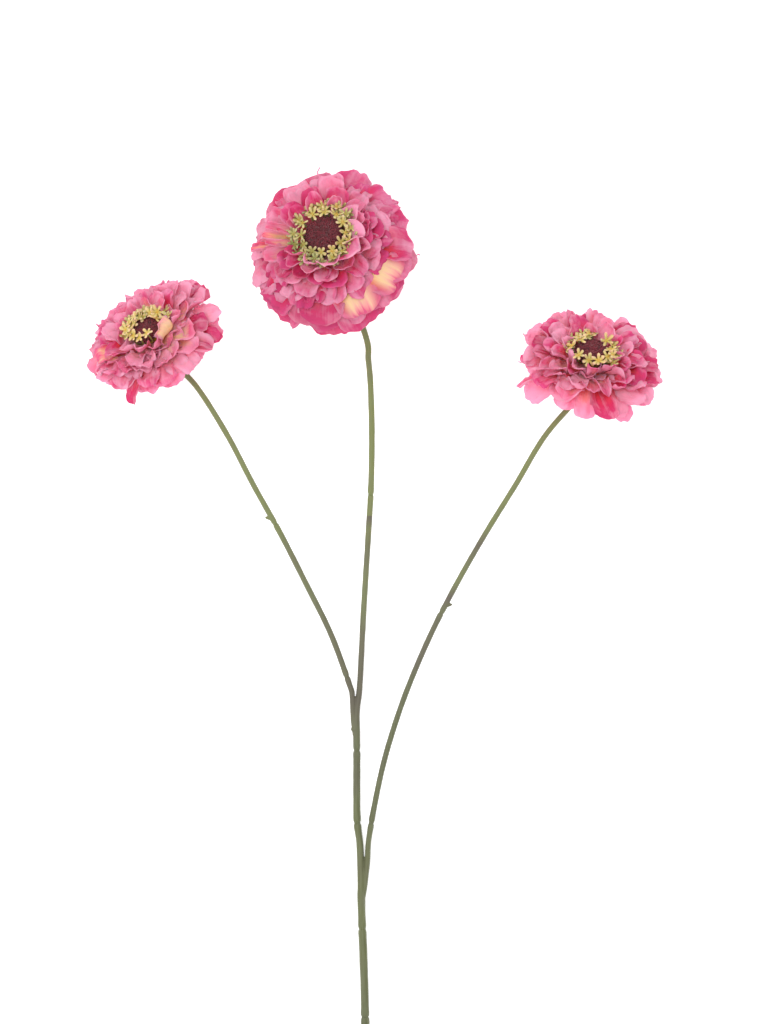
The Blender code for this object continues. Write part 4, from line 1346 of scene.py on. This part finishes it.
calyx_plastic, tree = new_material("calyx_plastic")
mottle = speckle(tree, 500.0, 3.0)
leaf = mixed(tree, mottle, (0.15, 0.20, 0.055), (0.27, 0.31, 0.10))
leaf = mixed(tree, remapped(tree, carried(tree, "margin")["Fac"], 0.55, 0.95, 0.0, 0.75), leaf,
             (0.10, 0.055, 0.045))
bump = add(tree, "Bump", Strength=0.3, Distance=0.0003, Height=mottle)
surface(tree, Base_Color=leaf, Roughness=remapped(tree, mottle, 0.3, 0.7, 0.45, 0.65),
        Normal=bump.outputs[0])
for name in HEADS:
    calyx_cup(name)

# %% [markdown]
# ## Routes of the stem
# The stem is a row of plastic sleeves moulded over steel wires. The routes repeat the ones
# that the CAD stem was drawn along, so the finished sleeves lie exactly where its solids are,
# but with a finer step between the rings, which makes the bends smooth.

# %% Stem routes
FOOT_RADIUS = 1.9 * MM
TRUNK_RADIUS = 1.7 * MM
BRANCH_RADIUS = 1.35 * MM
SLEEVE_JOINT = 0.7 * MM
FORK_OFFSET = 1.5 * MM        # how far beside the main wire a branch starts
FORK_REACH = 12 * MM          # how long it then keeps close to it
HUB_TO_CALYX = 0.475
NECK_REACHES = (9, 4, 0)      # the last points behind a calyx, straight on its axis
STEM_STEP = 1.2 * MM
LOWER_FORK_Y = -88 * MM
UPPER_FORK_Y = -9 * MM
MAIN_ROUTE = (
    (-3.9, -251), (-4.6, -200), (-4.7, -147), (-5.5, -119), (-6.4, -98), (-7.1, -69),
    (-8.5, -55), (-8.6, -27), (-8.6, -6), (-7.2, 8), (-5.4, 43), (-3.2, 79), (-1.9, 102),
    (-1.5, 126), (-2.1, 149), (-3.1, 161), (-4.6, 173),
)
LEFT_ROUTE = (
    (-12.0, 8), (-20.8, 32), (-32.1, 55), (-44.3, 79), (-57.1, 102), (-69.7, 126), (-84.4, 149),
)
RIGHT_ROUTE = (
    (-2.6, -62), (2.8, -34), (8.6, -13), (16.0, 8), (26.3, 32), (38.0, 55), (51.7, 79),
    (65.9, 102), (80.4, 126),
)
END_HEIGHTS = {"centre": 10.0 * MM, "left": 16.5 * MM, "right": 15.0 * MM}
MAIN_JOINTS = (-148.5 * MM, -107 * MM, -57 * MM, -22.8 * MM, 97.8 * MM)
LEFT_JOINTS = (12 * MM, 84 * MM)
RIGHT_JOINTS = (-57 * MM, 42 * MM)


def curve_through(points, step):
    """Evenly spaced points on a smooth curve through a route's own points."""
    ends = [2 * points[0] - points[1]] + points + [2 * points[-1] - points[-2]]
    smooth = [points[0]]
    for a, b, c, d in zip(ends, ends[1:], ends[2:], ends[3:]):
        pieces = max(1, round((c - b).length / step))
        for piece in range(1, pieces + 1):
            t = piece / pieces
            smooth.append(0.5 * (2 * b + (c - a) * t + (2 * a - 5 * b + 4 * c - d) * t * t
                                 + (3 * b - a - 3 * c + d) * t * t * t))
    return smooth


def crossing(path, y):
    """The point of a path at one Y."""
    for a, b in zip(path, path[1:]):
        if a.y <= y <= b.y:
            return a.lerp(b, (y - a.y) / (b.y - a.y))
    return path[-1] if y > path[-1].y else path[0]


def stem_path(name, route, fork_y, start_height):
    """A stem lies on the table up to its fork, rises evenly and turns up into its head."""
    high = route[-1][1] * MM
    points = []
    for x, y in route:
        rise = max(0.0, (y * MM - fork_y) / (high - fork_y))
        points.append(Vector((x * MM, y * MM,
                              start_height + rise * (END_HEIGHTS[name] - start_height))))
    back = HEADS[name]["hub_base"] - HUB_TO_CALYX - CALYX_DEPTH
    neck = [HEADS[name]["place"] @ Vector((0, 0, back - reach)) for reach in NECK_REACHES]
    return curve_through(points + neck, STEM_STEP)


def side_path(name, route, fork_y, side):
    """A side branch starts beside the main wire at its fork."""
    root = crossing(main_path, fork_y)
    beside = crossing(main_path, fork_y + FORK_REACH)
    starts = [((point.x + side * spread * FORK_OFFSET) / MM, point.y / MM)
              for point, spread in ((root, 1.0), (beside, 2.1))]
    return stem_path(name, (*starts, *route), fork_y, root.z)


main_path = stem_path("centre", MAIN_ROUTE, LOWER_FORK_Y, FOOT_RADIUS)
left_path = side_path("left", LEFT_ROUTE, UPPER_FORK_Y, -1)
right_path = side_path("right", RIGHT_ROUTE, LOWER_FORK_Y, 1)
print("stem points:", len(main_path), len(left_path), len(right_path))

# %% [markdown]
# ## Moulded sleeves
# Each sleeve is swept along its stretch of the route. Soft plastic is never a perfect
# cylinder: the ends are rounded with a slight swelling behind them, where the mould shut on
# the wire, the thickness wanders a little, and shallow ribs run along it like the veins of a
# real stem. A fork has an arm, and some sleeves carry the stub of a leaf. Those are joined
# into one skin by remeshing, which gives the soft web in the crotch that a moulding has and
# that a plain union of two tubes lacks.

# %% Sleeves
STEM_SIDES = 24
STUB_LENGTH = 3.4 * MM
STUB_RADII = (1.0 * MM, 1.15 * MM, 0.95 * MM, 0.45 * MM)
END_ZONE = 1.6 * MM           # near its ends a sleeve has rings of its own, closer together
END_SHARES = (0, 0.06, 0.18, 0.38, 0.66)
END_ROUND = 0.9 * MM
END_NARROWING = 0.16          # how much thinner a sleeve is at its very end
SWELLING = 0.06               # how much thicker it is just behind it
WANDER = 0.05                 # and how much its thickness wanders
RIBS = 5
RIB_DEPTH = 0.030
DENT_DEPTH = 0.030
COLLAR = 0.86                 # thickness of the neck between two sleeves, of the full radius
VOXEL = 0.22 * MM


def outer_radius(y):
    """The main stem is thickest at its foot and steps down past each fork."""
    radius = FOOT_RADIUS
    for fork_y, above in ((LOWER_FORK_Y, TRUNK_RADIUS), (UPPER_FORK_Y, 1.05 * BRANCH_RADIUS)):
        radius += (above - radius) * float(ease(y, fork_y - 3 * MM, fork_y + 3 * MM))
    return radius


def branch_radius(y):
    return BRANCH_RADIUS


def stretch(path, low, high):
    """The part of a path between two values of Y, with extra points near its ends."""
    start, end = crossing(path, low), crossing(path, high)
    inner = [point for point in path if start.y + END_ZONE < point.y < end.y - END_ZONE]
    lead = [start.lerp(inner[0], share) for share in END_SHARES]
    tail = [end.lerp(inner[-1], share) for share in reversed(END_SHARES)]
    return lead + inner + tail


def sleeve_radii(path, radius_at, seed, blunt_start=True):
    """Radius at each ring: rounded and slightly swollen ends, and a wandering middle."""
    from_start = np.cumsum([0.0] + [(b - a).length for a, b in zip(path, path[1:])])
    from_end = from_start[-1] - from_start
    radii = []
    for point, near, far in zip(path, from_start, from_end):
        reach = min(near, far) if blunt_start else far
        round_off = math.sqrt(max(0.0, 1 - (1 - min(reach / END_ROUND, 1.0)) ** 2))
        swell = 1 + SWELLING * math.exp(-((reach - 1.8 * MM) / (1.3 * MM)) ** 2)
        wander = 1 + WANDER * noise.noise(Vector((seed, point.y * 160, 0)))
        rounded = 1 - END_NARROWING + END_NARROWING * round_off
        radii.append(radius_at(point.y) * rounded * swell * wander)
    return radii


def ribbed(points, path, sides, seed):
    """Shallow ribs and dents along a swept tube."""
    for index, point in enumerate(points[:len(path) * sides]):
        ring, k = divmod(index, sides)
        angle = math.tau * k / sides
        rib = RIB_DEPTH * math.cos(RIBS * angle + seed + 18 * path[ring].y)
        dent = DENT_DEPTH * noise.noise(point * 420)
        points[index] = path[ring] + (point - path[ring]) * (1 + rib + dent)
    return points


print("a stem is", round(2 * outer_radius(LOWER_FORK_Y + 10 * MM) / MM, 2),
      "mm thick above the lower fork")

# %% Stubs, forks and moulding
def leaf_stub(path, y, side):
    """The stub that a leaf leaves on a stem: a short wedge that ends in a ragged tip."""
    root = crossing(path, y)
    along = (crossing(path, y + STUB_LENGTH) - root).normalized()
    out = along.cross(Vector((0, 0, 1))).normalized() * side
    aim = (out * 0.8 + along * 0.6).normalized()
    spine = [root - along * 1.2 * MM, root + aim * 0.9 * MM, root + aim * 2.2 * MM,
             root + aim * STUB_LENGTH]
    return sweep(spine, STUB_RADII, 12, 0.8)


def moulded(name, tubes, node, flush):
    """One sleeve from its tubes. More than one tube is fused into a single skin."""
    points, faces = [], []
    for tube_points, tube_faces in tubes:
        add_part(points, faces, tube_points, tube_faces)
    thing = link_mesh(name, points, faces, Matrix.Identity(4))
    if len(tubes) > 1:
        fuse = thing.modifiers.new("fuse", "REMESH")
        fuse.mode = "VOXEL"
        fuse.voxel_size = VOXEL
        fuse.use_smooth_shade = True
        soften = thing.modifiers.new("soften", "CORRECTIVE_SMOOTH")
        soften.factor = 0.5
        soften.iterations = 4
        soften.use_only_smooth = True
        graph = bpy.context.evaluated_depsgraph_get()
        fused = bpy.data.meshes.new_from_object(thing.evaluated_get(graph))
        thing.modifiers.clear()
        thing.data = fused
        fused.shade_smooth()
    mesh = thing.data
    levels, strengths = zip(*flush)
    stain = [float(np.interp(vert.co.y / MM, levels, strengths)) for vert in mesh.vertices]
    carry(mesh, "stain", stain)
    mesh.materials.clear()
    mesh.materials.append(stem_plastic)
    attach(thing, "root")
    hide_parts(node)
    print(name, len(mesh.polygons), "faces")


def tube(path, low, high, radius_at, seed, collar=True):
    """A sleeve with a narrow collar below it that closes the ring round the wire."""
    part = stretch(path, low, high)
    radii = sleeve_radii(part, radius_at, seed)
    under = crossing(path, low - SLEEVE_JOINT - 0.2 * MM)
    if collar:
        neck = COLLAR * radius_at(low)
        part = [under, part[0].lerp(under, 0.02)] + part
        radii = [neck, neck] + radii
    points, faces = sweep(part, radii, STEM_SIDES)
    return ribbed(points, part, STEM_SIDES, seed), faces


def fork_arm(path, fork_y, high, seed):
    """The arm of a fork: it starts thin inside the main stem and comes out of its side."""
    part = stretch(path, fork_y + 0.5 * MM, high)
    inside = crossing(main_path, fork_y - FORK_REACH)
    halfway = crossing(main_path, fork_y - FORK_REACH / 2).lerp(
        part[0] - (part[1] - part[0]).normalized() * 6.5 * MM, 0.6)
    radii = sleeve_radii(part, branch_radius, seed, blunt_start=False)
    part = [inside, halfway] + part
    points, faces = sweep(part, [0.6 * radii[0], 0.95 * radii[0]] + radii, STEM_SIDES)
    return ribbed(points, part, STEM_SIDES, seed), faces

# %% [markdown]
# ## Stem finish
# The plastic is sprayed in soft greens that change along the stem: olive and greyish below,
# yellow-green near the flowers. Here and there a purplish brown has been brushed on, as a real
# stem is flushed by the sun. The green follows Y and wanders with a stretched noise, the
# flushes come from an attribute on the mesh, and fine streaks run along the stem.

# %% Stem material
stem_plastic, tree = new_material("stem_plastic")
spot = add(tree, "TexCoord").outputs["Object"]
height = add(tree, "SeparateXYZ", Vector=spot).outputs["Y"]
wander = stretched_noise(tree, spot, (160.0, 45.0, 160.0), 3.0)
streak = stretched_noise(tree, spot, (1500.0, 90.0, 1500.0), 3.0)
up = compute(tree, "ADD", compute(tree, "MULTIPLY", height, 4.0), 0.6,
             remapped(tree, wander, 0.3, 0.7, -0.09, 0.09))
green = ramp(tree, up, (
    (0.0, (0.076, 0.086, 0.031)), (0.20, (0.102, 0.115, 0.034)), (0.45, (0.095, 0.107, 0.040)),
    (0.56, (0.090, 0.097, 0.042)), (0.70, (0.118, 0.128, 0.056)), (1.0, (0.165, 0.188, 0.056))))
green = mixed(tree, remapped(tree, streak, 0.35, 0.7, 0.0, 0.38), green, (0.20, 0.215, 0.13))
blotch = remapped(tree, wander, 0.48, 0.75, 0.0, 0.25)
flush = compute(tree, "ADD", carried(tree, "stain")["Fac"], compute(tree, "MULTIPLY", blotch, 0.5))
flush = compute(tree, "MAXIMUM", flush, blotch)
green = mixed(tree, flush, green, (0.100, 0.078, 0.066))
bump = add(tree, "Bump", Strength=0.5, Distance=0.0003, Height=streak)
surface(tree, Base_Color=green, Roughness=remapped(tree, streak, 0.3, 0.7, 0.5, 0.7),
        Normal=bump.outputs[0], Sheen_Weight=0.3, Sheen_Roughness=0.4)

# %% [markdown]
# ## Laying out the stem
# The main stem is made of six mouldings and each side branch of two. Between two of them a
# narrow ring is left open, in which the wire shows, so every moulding stops half a gap short
# of its joint. The brushed flush is listed for each moulding by how strong it is at each Y.

# %% Stem pieces
gap = SLEEVE_JOINT / 2
WIRE_SHOWS = 0.4 * MM         # the cut wire stands this far out of the foot
main_ends = [main_path[0].y] + list(MAIN_JOINTS) + [main_path[-1].y]
main_lows = [main_ends[0] + WIRE_SHOWS] + [y + gap for y in main_ends[1:-1]]
main_highs = [y - gap for y in main_ends[1:-1]] + [main_ends[-1]]
main_names = ("foot", "lower", "lower_fork", "trunk", "upper_fork", "centre")
# How strongly the flush is brushed on at each Y, in millimetres.
UNFLUSHED = ((0, 0),)
FLUSHES = {
    "lower_fork": ((-100, 0.0), (-86, 0.1), (-78, 0.25), (-70, 0.1), (-58, 0.05)),
    "upper_fork": ((-23, 0.0), (-12, 0.15), (-4, 0.5), (1, 0.7), (5, 0.6), (10, 0.55), (24, 0.5),
                   (33, 0.45), (39, 0.1), (53, 0.0), (60, 0.15), (68, 0.4), (75, 0.35),
                   (81, 0.15), (84, 0.45), (87.4, 0.85), (88.0, 0.0)),
    "left_lower": ((12, 0.35), (20, 0.45), (40, 0.35), (50, 0.15), (60, 0.2), (67, 0.4),
                   (76, 0.15), (84, 0.0)),
    "right_lower": ((-57, 0.15), (0, 0.1), (10, 0.1), (17, 0.55), (25, 0.6), (32, 0.4),
                    (39, 0.4), (42, 0.25)),
    "right_upper": ((43, 0.2), (46, 0.5), (49, 0.85), (52, 0.45), (56, 0.0), (62, 0.1),
                    (68, 0.4), (74, 0.75), (79, 0.3), (82, 0.0)),
}
arms = {
    "lower_fork": [fork_arm(right_path, LOWER_FORK_Y, RIGHT_JOINTS[0] - gap, 3.1)],
    "upper_fork": [fork_arm(left_path, UPPER_FORK_Y, LEFT_JOINTS[0] - gap, 4.2),
                   leaf_stub(main_path, -14.5 * MM, -1)],
}
for index, (part, low, high) in enumerate(zip(main_names, main_lows, main_highs)):
    tubes = [tube(main_path, low, high, outer_radius, index * 1.7, index > 0)]
    tubes += arms.get(part, [])
    node = part if part in arms else f"{part}_sleeve"
    moulded(f"{part}_moulding", tubes, node, FLUSHES.get(part, UNFLUSHED))
for side, path, joints, stub_y, way in (("left", left_path, LEFT_JOINTS, 86.5 * MM, -1),
                                        ("right", right_path, RIGHT_JOINTS, 45.5 * MM, 1)):
    ends = ((joints[0] + gap, joints[1] - gap), (joints[1] + gap, path[-1].y))
    moulded(f"{side}_lower_moulding", [tube(path, *ends[0], branch_radius, 5.0 + way)],
            f"{side}_lower_sleeve", FLUSHES[f"{side}_lower"])
    moulded(f"{side}_upper_moulding", [tube(path, *ends[1], branch_radius, 6.0 + way),
                                       leaf_stub(path, stub_y, way)],
            f"{side}_upper_sleeve", FLUSHES.get(f"{side}_upper", UNFLUSHED))

# %% [markdown]
# ## Wires
# The wires keep their CAD shape. They show only in the narrow rings between sleeves and at
# the cut end, so what they need is a finish: drawn steel with fine scratches along it, and the
# green spray that reached it between the sleeves.

# %% Wire finish
stem_wire, tree = new_material("stem_wire")
spot = add(tree, "TexCoord").outputs["Object"]
scratch = stretched_noise(tree, spot, (3000.0, 200.0, 3000.0), 2.0)
spray = stretched_noise(tree, spot, (400.0, 250.0, 400.0), 2.0)
sprayed = remapped(tree, spray, 0.30, 0.55, 0.35, 1.0)
wire_colour = mixed(tree, sprayed, (0.42, 0.42, 0.41), (0.14, 0.16, 0.06))
surface(tree, Base_Color=wire_colour, Roughness=remapped(tree, scratch, 0.3, 0.7, 0.35, 0.55),
        Metallic=compute(tree, "SUBTRACT", 1.0, sprayed))
for name in ("main_wire", "left_wire", "right_wire"):
    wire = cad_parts[name]
    wire.data.materials.clear()
    wire.data.materials.append(stem_wire)
print("three wires finished")
